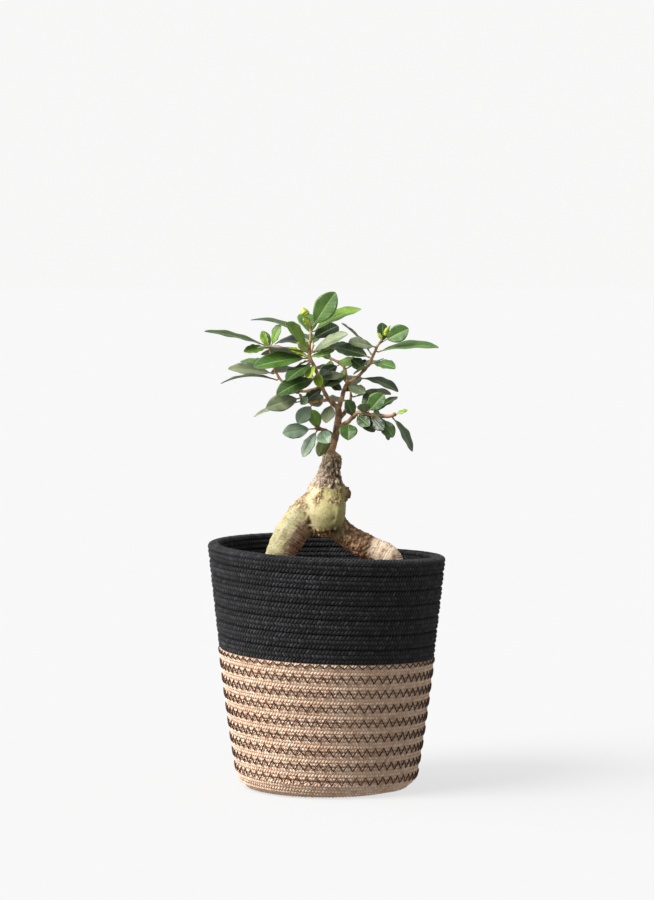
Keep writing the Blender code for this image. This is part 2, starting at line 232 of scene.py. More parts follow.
class Field:
    # a node's output, to be reckoned with like a number
    def __init__(self, socket):
        self.socket = socket
        self.tree = socket.id_data

    def reckon(self, operation, other=0.0, swapped=False):
        first, second = (other, self) if swapped else (self, other)
        return newField(self.tree, "ShaderNodeMath", {"operation": operation}, i0=first, i1=second)

    def __add__(self, other):
        return self.reckon("ADD", other)

    def __sub__(self, other):
        return self.reckon("SUBTRACT", other)

    def __rsub__(self, other):
        return self.reckon("SUBTRACT", other, swapped=True)

    def __mul__(self, other):
        return self.reckon("MULTIPLY", other)

    def stretch(self, low, high, bottom=0.0, top=1.0):
        return newField(self.tree, "ShaderNodeMapRange", {"interpolation_type": "SMOOTHSTEP"}, "Result",
                        Value=self, From_Min=low, From_Max=high, To_Min=bottom, To_Max=top)

    def speckle(self, scale, detail=3.0, roughness=0.55):
        return newField(self.tree, "ShaderNodeTexNoise", None, "Fac", Vector=self, Scale=scale,
                        Detail=detail, Roughness=roughness)

    def over(self, share, second, blend="MIX"):
        # this colour with a share of the second one laid over it
        settings = {"data_type": "RGBA", "blend_type": blend}
        return newField(self.tree, "ShaderNodeMix", settings, 2, i0=share, i6=self, i7=second)

    def between(self, first, second):
        # this field picks the colour between two
        return newField(self.tree, "ShaderNodeMix", {"data_type": "RGBA"}, 2, i0=self, i6=first, i7=second)


def readValue(tree, name, output="Fac"):
    return newField(tree, "ShaderNodeAttribute", {"attribute_name": name}, output)


def newMaterial(name, roughness, **settings):
    material = bpy.data.materials.new(name)
    material.use_nodes = True
    tree = material.node_tree
    shader = tree.nodes["Principled BSDF"]
    shader.inputs["Roughness"].default_value = roughness
    for key, value in settings.items():
        shader.inputs[key.replace("_", " ")].default_value = value
    return material, tree, newField(tree, "ShaderNodeTexCoord", None, "Object")


def finishMaterial(material, colour, relief, strength, distance, gloss=None):
    # joins the colour, the relief and perhaps the gloss to the surface
    tree = material.node_tree
    shader = tree.nodes["Principled BSDF"]
    plug(shader.inputs["Base Color"], colour)
    if gloss:
        plug(shader.inputs["Roughness"], gloss)
    plug(shader.inputs["Normal"], newField(tree, "ShaderNodeBump", None, "Normal", Height=relief,
                                           Strength=strength, Distance=distance * mm))
    return material


studio = {
    "lens": 133.3,
    "eye": (0.0, -2.24, 0.354),          # metres
    "tilt": 3.23,                        # degrees downwards
    "keyStrength": 4.5,
    "keyFrom": (-60, 46),                # degrees round from the front, and up
    "keySoftness": 32,                   # degrees
    "fillStrength": 2.2,
    "fillFrom": (-98, 18),
    "fillSoftness": 60,
    "roomLight": 0.40,
    "backdrop": 0.935,
    "floorGlow": 0.700,
    "sheenLight": 0.45,        # how much of the backdrop the glossy surfaces see
    "floorTint": 0.145,
    "floorReach": 40,                    # metres
    "floorDrop": 0.0002,
}


def addSun(name, heading, height, strength, softness):
    sun = bpy.data.lights.new(name, "SUN")
    sun.energy = strength
    sun.angle = math.radians(softness)
    turn, rise = math.radians(heading), math.radians(height)
    source = Vector((math.sin(turn) * math.cos(rise), -math.cos(turn) * math.cos(rise), math.sin(rise)))
    newObject(sun, name).rotation_euler = source.to_track_quat("Z", "Y").to_euler()


def setUpStudio():
    camera = newObject(bpy.data.cameras.new("camera"), "camera")
    camera.data.lens = studio["lens"]
    camera.data.clip_end = 100
    camera.location = studio["eye"]
    camera.rotation_euler = (math.radians(90 - studio["tilt"]), 0, 0)
    scene.camera = camera
    scene.view_settings.view_transform = "Standard"
    addSun("key", *studio["keyFrom"], studio["keyStrength"], studio["keySoftness"])
    addSun("fill", *studio["fillFrom"], studio["fillStrength"], studio["fillSoftness"])

    # the room: a bright backdrop to look at, a softer light on the plant
    scene.world = bpy.data.worlds.new("room")
    scene.world.use_nodes = True
    tree = scene.world.node_tree
    background = tree.nodes["Background"]
    background.inputs["Color"].default_value = (1.0, 0.998, 0.994, 1)
    rays = addNode(tree, "ShaderNodeLightPath").outputs
    glossy = Field(rays["Is Glossy Ray"]) * studio["sheenLight"]
    seen = Field(rays["Is Camera Ray"]).reckon("MAXIMUM", glossy)
    strength = seen * (studio["backdrop"] - studio["roomLight"]) + studio["roomLight"]
    plug(background.inputs["Strength"], strength)

    # the floor glows a little, so the shadow on it stays pale
    material = newMaterial(
        "paleFloor", 1.0, Base_Color=(*[studio["floorTint"]] * 3, 1), Specular_IOR_Level=0.0,
        Emission_Color=(1, 1, 1, 1), Emission_Strength=studio["floorGlow"])[0]
    reach, drop = studio["floorReach"], studio["floorDrop"]
    ring = [(reach * math.cos(a), reach * math.sin(a), -drop) for a in roundAngles(64)]
    floor = newObject(newMesh("floor", ring, [range(64)]), "floor")
    floor.data.materials.append(material)
    floor.visible_diffuse = False
    floor.visible_glossy = False


setUpStudio()
print("studio ready")


# The basket is one long braided rope, coiled and sewn.
blackLow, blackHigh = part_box("black_basket")
basket = {
    "rimRadius": (blackHigh.x - blackLow.x) / 2 / mm,
    "footRadius": 58.5,        # the wall's line carried down to the ground
    "flare": 0.78,             # 1 is a straight cone, less swells the middle
    "height": 160.9,           # middle of the rim rope's last turn
    "footRound": 13.0,
    "endHeading": 70,          # degrees, where the rope's end lies; 90 is straight behind
    "pitch": 9.92,             # rope to rope along the wall
    "ropeDepth": 4.0,          # the rope's middle under the outer line
    "hub": 5.0,                # radius of the innermost turn
    "lean": 2.3,               # the rim's rise at the left and drop at the right
    "blackTurns": 7,
    "coreWidth": 5.1,          # half the rope's size along the wall
    "coreDepth": 3.5,          # half its size through the wall, under the braid
    "squareness": 6.0,         # 2 is round, more is squarer
    "blackSquareness": 3.7,
    "endTaper": 26,            # length over which the rope's end is tucked down
    "step": 2.7,
}
coilDetail = {"floorSteps": 24, "footSteps": 8, "wallSteps": 80, "lengthSteps": 6000, "ropeSides": 16}
juteBraid = {
    "spacing": 2.1,
    "slant": 48,               # degrees from the rope's own line
    "length": 3.9,
    "width": 1.75,
    "height": 1.2,
    # rows across a face of the rope: place across, and which way the lobes slant
    "rows": ((3.75, 1), (1.25, -1), (-1.25, 1), (-3.75, -1)),
    "hubTurns": 0.6,           # bare at the innermost end
}
blackBraid = {
    "spacing": 2.4,
    "slant": 47,
    "length": 4.8,
    "width": 2.0,
    "height": 1.2,
    "rows": ((3.2, 1), (0, -1), (-3.2, 1)),
    "topRows": ((1.2, 1), (-1.2, -1)),
    "innerTurns": 3.3,         # as far as the inside shows
}
seam = {
    "pitch": 6.0,
    "height": 5.4,
    "thread": 0.74,
    "lift": 0.98,
    "dip": 0.3,
    "pointsPerStitch": 8,
}


def wallRadius(height):
    share = np.maximum(height, 0) / basket["height"]
    return basket["footRadius"] + (basket["rimRadius"] - basket["footRadius"]) * share ** basket["flare"]


def coilLine():
    # the rope's middle in a cut through the basket: (radius, height) from the floor's centre to the rim
    depth, hub, roundness = basket["ropeDepth"], basket["hub"], basket["footRound"]
    corner, reach = wallRadius(roundness) - roundness, roundness - depth
    floorSteps, footSteps, wallSteps = (coilDetail[part] for part in ("floorSteps", "footSteps", "wallSteps"))
    points = [(hub + (corner - hub) * step / floorSteps, depth) for step in range(floorSteps + 1)]
    for step in range(1, footSteps + 1):
        angle = math.radians(-90 + 90 * step / footSteps)
        points.append((corner + reach * math.cos(angle), roundness + reach * math.sin(angle)))
    for step in range(1, wallSteps + 1):
        height = roundness + (basket["height"] - roundness) * step / wallSteps
        points.append((wallRadius(height) - depth, height))
    line = np.array(points)
    return line, np.concatenate([[0], np.cumsum(np.linalg.norm(np.diff(line, axis=0), axis=1))])


def coilPlace(run):
    return np.stack([np.interp(run, coilRun, coilShape[:, part]) for part in (0, 1)], axis=1)


coilShape, coilRun = coilLine()
allTurns = coilRun[-1] / basket["pitch"]
fineTurns = np.linspace(0, allTurns, coilDetail["lengthSteps"])
fineRadius = coilPlace(coilRun[-1] - fineTurns * basket["pitch"])[:, 0]
fineLength = np.concatenate([[0], np.cumsum(2 * math.pi * fineRadius[1:] * np.diff(fineTurns))])


def evenTurns(first, last, spacing):
    # turns counted back from the rope's end, at even steps along the rope
    start, stop = np.interp([first, last], fineTurns, fineLength)
    count = max(2, int(round((stop - start) / spacing)) + 1)
    return np.interp(np.linspace(start, stop, count), fineLength, fineTurns)


def coilFrames(turns, shift=0.0):
    # the rope's middle, and its directions along, across (towards the rim) and outwards
    run = coilRun[-1] - (np.asarray(turns) + shift) * basket["pitch"]
    place, slope = coilPlace(run), unit(coilPlace(run + 2) - coilPlace(run - 2))
    angle = math.radians(basket["endHeading"]) + 2 * math.pi * np.asarray(turns)
    zero = np.zeros_like(angle)
    radial = np.stack([np.cos(angle), np.sin(angle), zero], axis=1)
    upward = np.array([[0.0, 0.0, 1.0]])
    middle = radial * place[:, :1] + upward * place[:, 1:]
    along = np.stack([-np.sin(angle), np.cos(angle), zero], axis=1)
    across = radial * slope[:, :1] + upward * slope[:, 1:]
    outward = radial * slope[:, 1:] - upward * slope[:, :1]
    return middle, along, across, outward


def leanOver(points):
    points = np.array(points)
    share = points[..., 2] / basket["height"]
    points[..., 2] -= basket["lean"] * share * points[..., 0] / basket["rimRadius"]
    points[..., 2] = np.maximum(points[..., 2], 0.05)
    return points


def ropeSurface(turns, angles):
    # points on the rope at matching turns and section angles, which way it faces there, and its direction
    middle, along, across, outward = coilFrames(turns)
    jute = ease(basket["blackTurns"] - 0.3, basket["blackTurns"], turns)
    squareness = basket["blackSquareness"] + (basket["squareness"] - basket["blackSquareness"]) * jute
    angles = np.radians(angles)
    sides = []
    for share, size in ((np.cos(angles), basket["coreWidth"]), (np.sin(angles), basket["coreDepth"])):
        share = signedPower(share, 2 / squareness)
        sides.append((share[:, None], (signedPower(share, squareness - 1) / size)[:, None]))
    (acrossShare, acrossFacing), (outShare, outFacing) = sides
    taper = (0.35 + 0.65 * ease(0, basket["endTaper"], np.interp(turns, fineTurns, fineLength)))[:, None]
    width, depth = basket["coreWidth"] * taper, basket["coreDepth"] * taper
    low = -across * basket["coreWidth"] * (1 - taper)
    points = middle + low + across * width * acrossShare + outward * depth * outShare
    return points, unit(across * acrossFacing + outward * outFacing), along


def ropeCore(name, first, last, tone):
    turns = evenTurns(first, last, basket["step"])
    sides = coilDetail["ropeSides"]
    angles = np.arange(sides) * 360 / sides
    manyTurns, manyAngles = (part.ravel() for part in np.meshgrid(turns, angles, indexing="ij"))
    points = ropeSurface(manyTurns, manyAngles)[0]
    mesh = closeUp(newMesh(name, leanOver(points) * mm, tubeFaces(len(turns), sides)))
    storeValues(mesh, "tone", np.full(len(mesh.vertices), tone))
    return mesh


def rowAngle(place, reach, squareness):
    # the section angle of a row that lies `place` from the middle of a face whose half size is `reach`
    share = abs(place) / reach
    return math.copysign(math.degrees(math.asin(share ** (squareness / 2))), place)


def strandMesh(braid):
    # one lobe of the braid: an arched lozenge, ends dipping into the rope
    rings = 2
    around = 5
    points = [(-0.5, 0.0, -0.34)]
    for ring in range(rings):
        place = -0.5 + (ring + 1) / (rings + 1)
        full = math.cos(math.pi * place) ** 0.35
        for side in range(around):
            angle = 2 * math.pi * (side + 0.25) / around
            drop = -0.9 * place ** 2
            points.append((place, 0.5 * full * math.cos(angle), 0.5 * full * math.sin(angle) + drop))
    points.append((0.5, 0.0, -0.34))
    faces = []
    for side in range(around):
        following = (side + 1) % around
        faces.append((0, 1 + following, 1 + side))
        last = 1 + (rings - 1) * around
        faces.append((len(points) - 1, last + side, last + following))
        for ring in range(rings - 1):
            low, high = 1 + ring * around, 1 + (ring + 1) * around
            faces.append((low + side, low + following, high + following, high + side))
    mesh = closeUp(newMesh("strand", points, faces))
    layer = mesh.uv_layers.new(name="strandUv")
    for loop in mesh.loops:
        place = mesh.vertices[loop.vertex_index].co
        layer.data[loop.index].uv = (place.x + 0.5, place.y + 0.5)
    mesh.transform(Matrix.Diagonal((braid["length"] * mm, braid["width"] * mm, braid["height"] * mm, 1)))
    mesh.shade_smooth()
    return mesh


def strandPoints(rows, braid, seed):
    # where the braid's lobes sit, how each is turned, and how light it is
    chance = np.random.default_rng(seed)
    places, turnings, tones = [], [], []
    for angle, side, first, last, shift in rows:
        turns = evenTurns(first, last, braid["spacing"])
        if shift:
            turns = (turns[:-1] + turns[1:]) / 2
        points, facing, along = ropeSurface(turns, np.full(len(turns), float(angle)))
        sideways = unit(np.cross(facing, along))
        slant = np.radians(braid["slant"] + chance.normal(0, 3, len(turns)))[:, None]
        forward = unit(along * np.cos(slant) + sideways * np.sin(slant) * side)
        left = np.cross(facing, forward)
        places.append(leanOver(points + facing * 0.12))
        turnings.append(np.stack([
            np.arctan2(left[:, 2], facing[:, 2]),
            np.arcsin(np.clip(-forward[:, 2], -1, 1)),
            np.arctan2(forward[:, 1], forward[:, 0])], axis=1))
        tones.append(np.clip(0.58 + chance.normal(0, 0.14, len(turns)), 0.2, 1))
    mesh = newMesh("strandPlaces", np.concatenate(places) * mm, [])
    storeVectors(mesh, "turning", np.concatenate(turnings))
    storeValues(mesh, "tone", np.concatenate(tones))
    return mesh


def newTree(name, sockets):
    # a geometry tree that takes a mesh and the named inputs
    tree = bpy.data.node_groups.new(name, "GeometryNodeTree")
    for label, kind in (("Geometry", "Geometry"), *sockets.items()):
        tree.interface.new_socket(name=label, in_out="INPUT", socket_type=f"NodeSocket{kind}")
    tree.interface.new_socket(name="Geometry", in_out="OUTPUT", socket_type="NodeSocketGeometry")
    return tree, {socket.name: Field(socket) for socket in tree.nodes.new("NodeGroupInput").outputs}


def closeTree(tree, given, shape):
    # makes the copies real and gives them their material
    whole = newField(tree, "GeometryNodeRealizeInstances", Geometry=shape)
    finished = newField(tree, "GeometryNodeSetMaterial", Geometry=whole, Material=given["Finish"])
    plug(tree.nodes.new("NodeGroupOutput").inputs["Geometry"], finished)
    return tree


def growWith(mesh, tree, values):
    # run a geometry tree on a mesh and hand back what it makes
    helper = newObject(mesh)
    modifier = helper.modifiers.new("grow", "NODES")
    modifier.node_group = tree
    for item in tree.interface.items_tree:
        if item.in_out == "INPUT" and item.name in values:
            modifier[item.identifier] = values[item.name]
    return finishedMesh(helper)


def vectorField(tree, name):
    settings = {"data_type": "FLOAT_VECTOR"}
    return newField(tree, "GeometryNodeInputNamedAttribute", settings, "Attribute", Name=name)


def randomVector(tree, low, high, seed=0):
    settings = {"data_type": "FLOAT_VECTOR"}
    return newField(tree, "FunctionNodeRandomValue", settings, i0=low, i1=high, Seed=seed)


def layCopies(tree, points, shape, turning, sizes):
    turning = newField(tree, "FunctionNodeEulerToRotation", i0=turning)
    return newField(tree, "GeometryNodeInstanceOnPoints", Points=points, Instance=shape, Rotation=turning,
                    Scale=sizes)


def strandTree():
    tree, given = newTree("layStrands", {"Strand": "Object", "Seed": "Int", "Finish": "Material"})
    shape = newField(tree, "GeometryNodeObjectInfo", None, "Geometry", Object=given["Strand"])
    sizes = randomVector(tree, (0.92, 0.88, 0.8), (1.08, 1.08, 1.15), given["Seed"])
    laid = layCopies(tree, given["Geometry"], shape, vectorField(tree, "turning"), sizes)
    return closeTree(tree, given, laid)


def seamTree():
    # zigzags a thread over a seam line that knows its own across and outward directions
    tree, given = newTree("sewSeam", {"Half height": "Float", "Lift": "Float", "Dip": "Float",
                                      "Steps": "Float", "Radius": "Float", "Finish": "Material"})
    swing = newField(tree, "GeometryNodeInputIndex").reckon("PINGPONG", given["Steps"])
    swing = swing.reckon("DIVIDE", given["Steps"]) * 2.0 - 1.0
    depth = given["Lift"] - swing.reckon("ABSOLUTE").reckon("POWER", 8.0) * given["Dip"]
    moves = []
    for name, size in (("across", swing * given["Half height"]), ("outward", depth)):
        moves.append(newField(tree, "ShaderNodeVectorMath", {"operation": "SCALE"},
                              i0=vectorField(tree, name), Scale=size))
    offset = newField(tree, "ShaderNodeVectorMath", {"operation": "ADD"}, i0=moves[0], i1=moves[1])
    moved = newField(tree, "GeometryNodeSetPosition", Geometry=given["Geometry"], Offset=offset)
    line = newField(tree, "GeometryNodeMeshToCurve", Mesh=moved)
    ring = newField(tree, "GeometryNodeCurvePrimitiveCircle", {"mode": "RADIUS"}, Resolution=6,
                    Radius=given["Radius"])
    tube = newField(tree, "GeometryNodeCurveToMesh", Curve=line, Profile_Curve=ring, Fill_Caps=True)
    return closeTree(tree, given, tube)


def seamLine(first, last, drop=0.0):
    # the groove between one turn and the next above it, or a little below it
    turns = evenTurns(first, last, seam["pitch"] / seam["pointsPerStitch"])
    middle, _, across, outward = coilFrames(turns, shift=-0.5 + drop / basket["pitch"])
    points = leanOver(middle + outward * basket["coreDepth"]) * mm
    mesh = newMesh("seamLine", points, [], [(i, i + 1) for i in range(len(points) - 1)])
    storeVectors(mesh, "across", across)
    storeVectors(mesh, "outward", outward)
    return mesh


def ropeFinish(name, shade, middle, light, roughness, sheen):
    # tone picks the yarn's shade, and the cores' lower tone is painted shade in the gaps between lobes; fine
    # lines run along each lobe
    material, tree, place = newMaterial(name, roughness, Sheen_Weight=sheen, Sheen_Roughness=0.5,
                                        Specular_IOR_Level=0.25)
    fine = place.speckle(1400, 4, 0.7)
    across = newField(tree, "ShaderNodeUVMap", {"uv_map": "strandUv"})
    lines = newField(tree, "ShaderNodeTexWave", {"bands_direction": "Y"}, 1, Vector=across, Scale=2.6,
                     Distortion=2.5, Detail=3.0, Detail_Scale=2.0)
    tone = readValue(tree, "tone") + (place.speckle(45, 2) - 0.5) * 0.35 + (fine - 0.5) * 0.8
    ramp = addNode(tree, "ShaderNodeValToRGB", Fac=tone + (lines - 0.5) * 0.22)
    steps = ramp.color_ramp.elements
    steps[0].position, steps[0].color = 0.05, (*shade, 1)
    steps[1].position, steps[1].color = 0.95, (*light, 1)
    steps.new(0.5).color = (*middle, 1)
    return finishMaterial(material, Field(ramp.outputs[0]), fine + lines * 0.6, 0.5, 0.25)


def threadFinish():
    material, tree, place = newMaterial("brownThread", 0.6, Specular_IOR_Level=0.3)
    twist = newField(tree, "ShaderNodeTexWave", {"bands_direction": "DIAGONAL"}, 1, Vector=place, Scale=420.0,
                     Distortion=1.5)
    return finishMaterial(material, twist.between(tint(34, 16, 8), tint(84, 46, 26)), twist, 0.6, 0.2)


def makeBasket():
    juteFinish = ropeFinish("juteRope", tint(176, 140, 112), tint(226, 193, 165), tint(250, 230, 208), 0.88,
                            0.12)
    blackFinish = ropeFinish("blackRope", tint(5, 5, 6), tint(18, 18, 20), tint(58, 58, 62), 0.8, 0.08)
    blackEnd = basket["blackTurns"]
    # the cores get a lower tone than the lobes (0.58 on average), so the gaps between lobes are darker:
    # painted shade
    for colour, first, last, tone, finish in (("black", 0, blackEnd, 0.22, blackFinish),
                                              ("jute", blackEnd, allTurns, 0.48, juteFinish)):
        mesh = ropeCore(f"{colour}Rope", first, last, tone)
        newPiece(f"{colour}_rope", mesh, finish, [f"{colour}_basket"])

    blackRows, juteRows = [], []
    for part, (place, side) in enumerate(blackBraid["rows"]):
        lean = rowAngle(place, basket["coreWidth"], basket["blackSquareness"])
        blackRows.append((90 - lean, side, 0, blackEnd, part % 2))
        blackRows.append((lean - 90, side, 0, blackBraid["innerTurns"], part % 2))
    for part, (place, side) in enumerate(blackBraid["topRows"]):
        blackRows.append((rowAngle(place, basket["coreDepth"], basket["blackSquareness"]), side, 0, 1, part))
    for part, angle in enumerate((45, -45)):
        blackRows.append((angle, 1 - 2 * part, 0, 1, 1 - part))
    for part, (place, side) in enumerate(juteBraid["rows"]):
        lean = rowAngle(place, basket["coreWidth"], basket["squareness"])
        juteRows.append((90 - lean, side, blackEnd, allTurns - juteBraid["hubTurns"], part % 2))
    laying = strandTree()
    for colour, braid, rows, finish, seed in (("black", blackBraid, blackRows, blackFinish, 3),
                                              ("jute", juteBraid, juteRows, juteFinish, 5)):
        strand = newObject(strandMesh(braid), "strand")
        places = strandPoints(rows, braid, seed)
        mesh = growWith(places, laying, {"Strand": strand, "Seed": seed, "Finish": finish})
        points = meshPoints(mesh)
        points[:, 2] = np.maximum(points[:, 2], 0)
        movePoints(mesh, points)
        newPiece(f"{colour}_braid", mesh, finish)
        bpy.data.objects.remove(strand)

    # full zigzags on the jute, round to the foot's curve, and half ones tucked under the black edge
    wallEnd = (coilRun[-1] - coilRun[coilDetail["floorSteps"] + 1]) / basket["pitch"]
    sewing = seamTree()
    thread = threadFinish()
    half = seam["height"] / 2
    for name, first, last, drop, reach in (
            ("seam_thread", blackEnd + 1, wallEnd, 0, half),
            ("edge_thread", blackEnd + 0.02, blackEnd + 1, half / 2, half / 2)):
        mesh = growWith(seamLine(first, last, drop), sewing, {
            "Half height": reach * mm, "Lift": seam["lift"] * mm, "Dip": seam["dip"] * mm,
            "Steps": seam["pointsPerStitch"] / 2, "Radius": seam["thread"] / 2 * mm, "Finish": thread})
        newPiece(name, mesh, thread)


makeBasket()
print("basket coiled, braided and sewn")


potLook = {
    "wall": 1.2,
    "lipRound": 1.0,
    "lipHeight": 5.0,
    "lipReach": 2.0,
    "drain": 7.0,              # radius
    "edge": 0.3,
    "steps": 13,               # up the wall
}
soilLook = {
    "crown": 3.0,
    "lumps": 0.9,
    "crumbs": 1500,
    "crumbSize": 1.5,
    "rings": 40,
    "around": 120,
}


def plasticFinish():
    material, tree, place = newMaterial("nurseryPlastic", 0.42, Specular_IOR_Level=0.45)
    dust = place.speckle(60, 4)
    colour = dust.stretch(0.45, 0.75).between(tint(26, 26, 27), tint(58, 54, 50))
    gloss = dust.stretch(0.3, 0.8, 0.35, 0.7)
    return finishMaterial(material, colour, place.speckle(500, 3), 0.15, 0.15, gloss)


def makePot():
    low, high = boxOf("nursery_pot")
    rim, bottom, top = high[0], low[2], high[2]
    foot = footReach("nursery_pot", 0.1)
    wall, curve, drain, edge = (potLook[part] for part in ("wall", "lipRound", "drain", "edge"))
    lipLow, under, inside = top - potLook["lipHeight"], rim - potLook["lipReach"], rim - 2 * curve
    outline = [(drain, bottom + edge), (drain + edge, bottom), (foot - 1.5, bottom),
               (foot - 0.4, bottom + 0.4), (foot, bottom + 1.5)]
    steps = potLook["steps"]
    for step in range(1, steps):
        share = step / steps
        outline.append((foot + (under - foot) * share, bottom + (lipLow - bottom) * share))
    outline += [(under, lipLow - 0.4), (under + 0.4, lipLow), (rim - edge, lipLow), (rim, lipLow + 0.4)]
    for step in range(9):
        angle = math.radians(180 * step / 8)
        outline.append((rim - curve + curve * math.cos(angle), top - curve + curve * math.sin(angle)))
    for step in range(1, steps):
        share = step / steps
        outline.append((inside + (foot - wall - inside) * share,
                        top - curve + (bottom + wall - top + curve) * share))
    outline += [(foot - wall - 1, bottom + wall), (drain + edge, bottom + wall),
                (drain, bottom + wall - edge)]
    mesh = turnedMesh("nurseryPot", [(r * mm, z * mm) for r, z in outline])
    newPiece("nursery_pot_shell", mesh, plasticFinish(), ["nursery_pot"])


def soilFinish():
    material, tree, place = newMaterial("pottingMix", 0.95, Specular_IOR_Level=0.2)
    coarse = place.speckle(160, 5, 0.65)
    bits = newField(tree, "ShaderNodeTexVoronoi", None, "Color", Vector=place, Scale=700.0)
    pale = newField(tree, "ShaderNodeSeparateColor", Color=bits).stretch(0.9, 0.96)
    colour = coarse.between(tint(28, 19, 14), tint(86, 62, 45)).over(pale, tint(150, 122, 92))
    return finishMaterial(material, colour, coarse, 0.8, 0.6)


def crumbTree():
    tree, given = newTree("scatterCrumbs", {"Density": "Float", "Size": "Float", "Seed": "Int",
                                            "Finish": "Material"})
    spots = newField(tree, "GeometryNodeDistributePointsOnFaces", Mesh=given["Geometry"],
                     Density=given["Density"], Seed=given["Seed"])
    stone = newField(tree, "GeometryNodeMeshIcoSphere", Radius=given["Size"], Subdivisions=1)
    sizes = randomVector(tree, (0.25, 0.25, 0.2), (1.1, 0.8, 0.7))
    laid = layCopies(tree, spots, stone, randomVector(tree, (0, 0, 0), (6.3, 6.3, 6.3)), sizes)
    return closeTree(tree, given, laid)


def makeSoil():
    low, high = boxOf("soil")
    reach, bottom, top = high[0], low[2], high[2]
    rings, around = soilLook["rings"], soilLook["around"]
    angles = roundAngles(around)
    radius, angle = np.meshgrid(np.linspace(0.02, 1, rings) * reach, angles, indexing="ij")
    height = top - soilLook["crown"] * (radius / reach) ** 2
    points = np.stack([radius * np.cos(angle), radius * np.sin(angle), height], axis=2).reshape(-1, 3)
    calm = 1 - (np.hypot(points[:, 0], points[:, 1]) / reach) ** 8
    points[:, 2] += (noiseAt(points, 5, 1) * 0.7 + noiseAt(points, 1.8, 2) * 0.5) * soilLook["lumps"] * calm
    surface = newMesh("soilTop", points * mm, gridFaces(rings, around, closedColumns=True))
    finish = soilFinish()
    crumbs = growWith(surface, crumbTree(), {
        "Density": soilLook["crumbs"] / (math.pi * (reach * mm) ** 2), "Seed": 4,
        "Size": soilLook["crumbSize"] * mm, "Finish": finish})

    # the body under the surface: the surface, a ring round the foot, and a hub in the middle
    foot = footReach("soil", 0.2)
    footRing = np.stack([foot * np.cos(angles), foot * np.sin(angles), np.full(around, bottom)], axis=1)
    every = np.concatenate([points, footRing, [[0, 0, points[:around, 2].mean()]]])
    faces = gridFaces(rings + 1, around, closedColumns=True)
    faces.append(tuple(range(rings * around, (rings + 1) * around)))
    faces += [(len(every) - 1, (step + 1) % around, step) for step in range(around)]
    newPiece("potting_soil", closeUp(newMesh("soil", every * mm, faces)), finish, ["soil"])
    newPiece("soil_crumbs", crumbs, finish)


makePot()
makeSoil()
print("pot and soil in place")


rootLook = {
    "grain": 0.5,
    "smoothing": 5,
    "height": 97,              # soil to graft
    "girths": {"leftLeg": 10.5, "rightLeg": 9, "bulb": 13, "neck": 8},
    # middle lines of the grown parts, from the top down, over the soil level
    "leftLeg": [(-5, -1, 66), (-13, -2, 58), (-21, -3, 49), (-28, -5, 38), (-33, -6, 27), (-37, -7, 14),
                (-39, -8, 0), (-40, -8, -16)],
    "rightLeg": [(2, 2, 56), (8, 0, 47), (16, -2, 41), (26, -4, 35.5), (35, -5, 31.5), (41, -6, 28),
                 (44, -7, 20), (46, -8, 8), (46, -8, -16)],
    "bulb": [(1, -1, 76), (-2, -3, 69), (-1.5, -5, 59), (-2, -5, 47)],
    "neck": [(0, 0, 76), (1, 0, 81), (3, 0, 93), (3, 0, 97)],
    "knot": (12.5, -2, 72.5),
    "tornTip": {"middle": (-3.0, -12, 44.5), "reach": (7.5, 9, 3.2)},
    "hollows": [((4.8, -11.5, 46.0), 3.2), ((1.2, -13.5, 43.2), 1.6), ((4.8, -18, 55), 0.9)],
    "chip": (5.0, -13.5, 48.0),
    "crease": [(-14.5, -12, 59), (-11.2, -12.5, 49.5), (-8, -11.5, 42)],     # where leg and bulb meet
    "bandRun": 35.5,           # along the right leg, where its bark ends in a dark band
}
graftLevel = boxOf("rootstock")[1][2]
soilLevel = graftLevel - rootLook["height"]


def soften(node, grain, smoothing):
    # a closed fine-grained copy of a CAD node
    helper = newObject(closeUp(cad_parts[node].data.copy()))
    remesh = helper.modifiers.new("grain", "REMESH")
    remesh.mode = "VOXEL"
    remesh.voxel_size = grain * mm
    relax = helper.modifiers.new("relax", "SMOOTH")
    relax.factor = 0.5
    relax.iterations = smoothing
    return finishedMesh(helper)


def nearestOnLine(points, line):
    # distance to a line, how far along it, and the place on it
    line = np.array(line, float)
    best = np.full(len(points), 1e9)
    along = np.zeros(len(points))
    foot = np.zeros_like(points)
    travelled = 0.0
    for start, stop in zip(line[:-1], line[1:]):
        length = np.linalg.norm(stop - start)
        share = np.clip((points - start) @ (stop - start) / length ** 2, 0, 1)
        place = start + share[:, None] * (stop - start)
        distance = np.linalg.norm(points - place, axis=1)
        closer = distance < best
        best[closer] = distance[closer]
        along[closer] = travelled + share[closer] * length
        foot[closer] = place[closer]
        travelled += length
    return best, along, foot


def blendColours(first, second, share):
    share = np.asarray(share)[:, None]
    return np.asarray(first) * (1 - share) + np.asarray(second) * share


def paint(colour, *layers):
    # each layer is a colour on the 0-255 scale and its share
    for shade, share in layers:
        colour = blendColours(colour, tint(*shade), share)
    return colour


def cracks(points, size, seed, sharpness=7):
    # thin winding lines, 1 in the crack and 0 away from it
    return np.clip(1 - np.abs(noiseAt(points, size, seed)) * sharpness, 0, 1)


def creases(mesh, rounds=14):
    # how hollow the surface is at each point, evened out over its neighbours
    edges = np.empty(len(mesh.edges) * 2, np.int32)
    mesh.edges.foreach_get("vertices", edges)
    first, second = edges.reshape(-1, 2).T
    points, facing = meshPoints(mesh) / mm, meshNormals(mesh)
    count = len(points)
    degree = np.bincount(first, minlength=count) + np.bincount(second, minlength=count)

    def around(values):
        total = np.bincount(first, values[second], count) + np.bincount(second, values[first], count)
        return total / degree

    values = sum((around(points[:, part]) - points[:, part]) * facing[:, part] for part in range(3))
    for step in range(rounds):
        values = around(values)
    return values


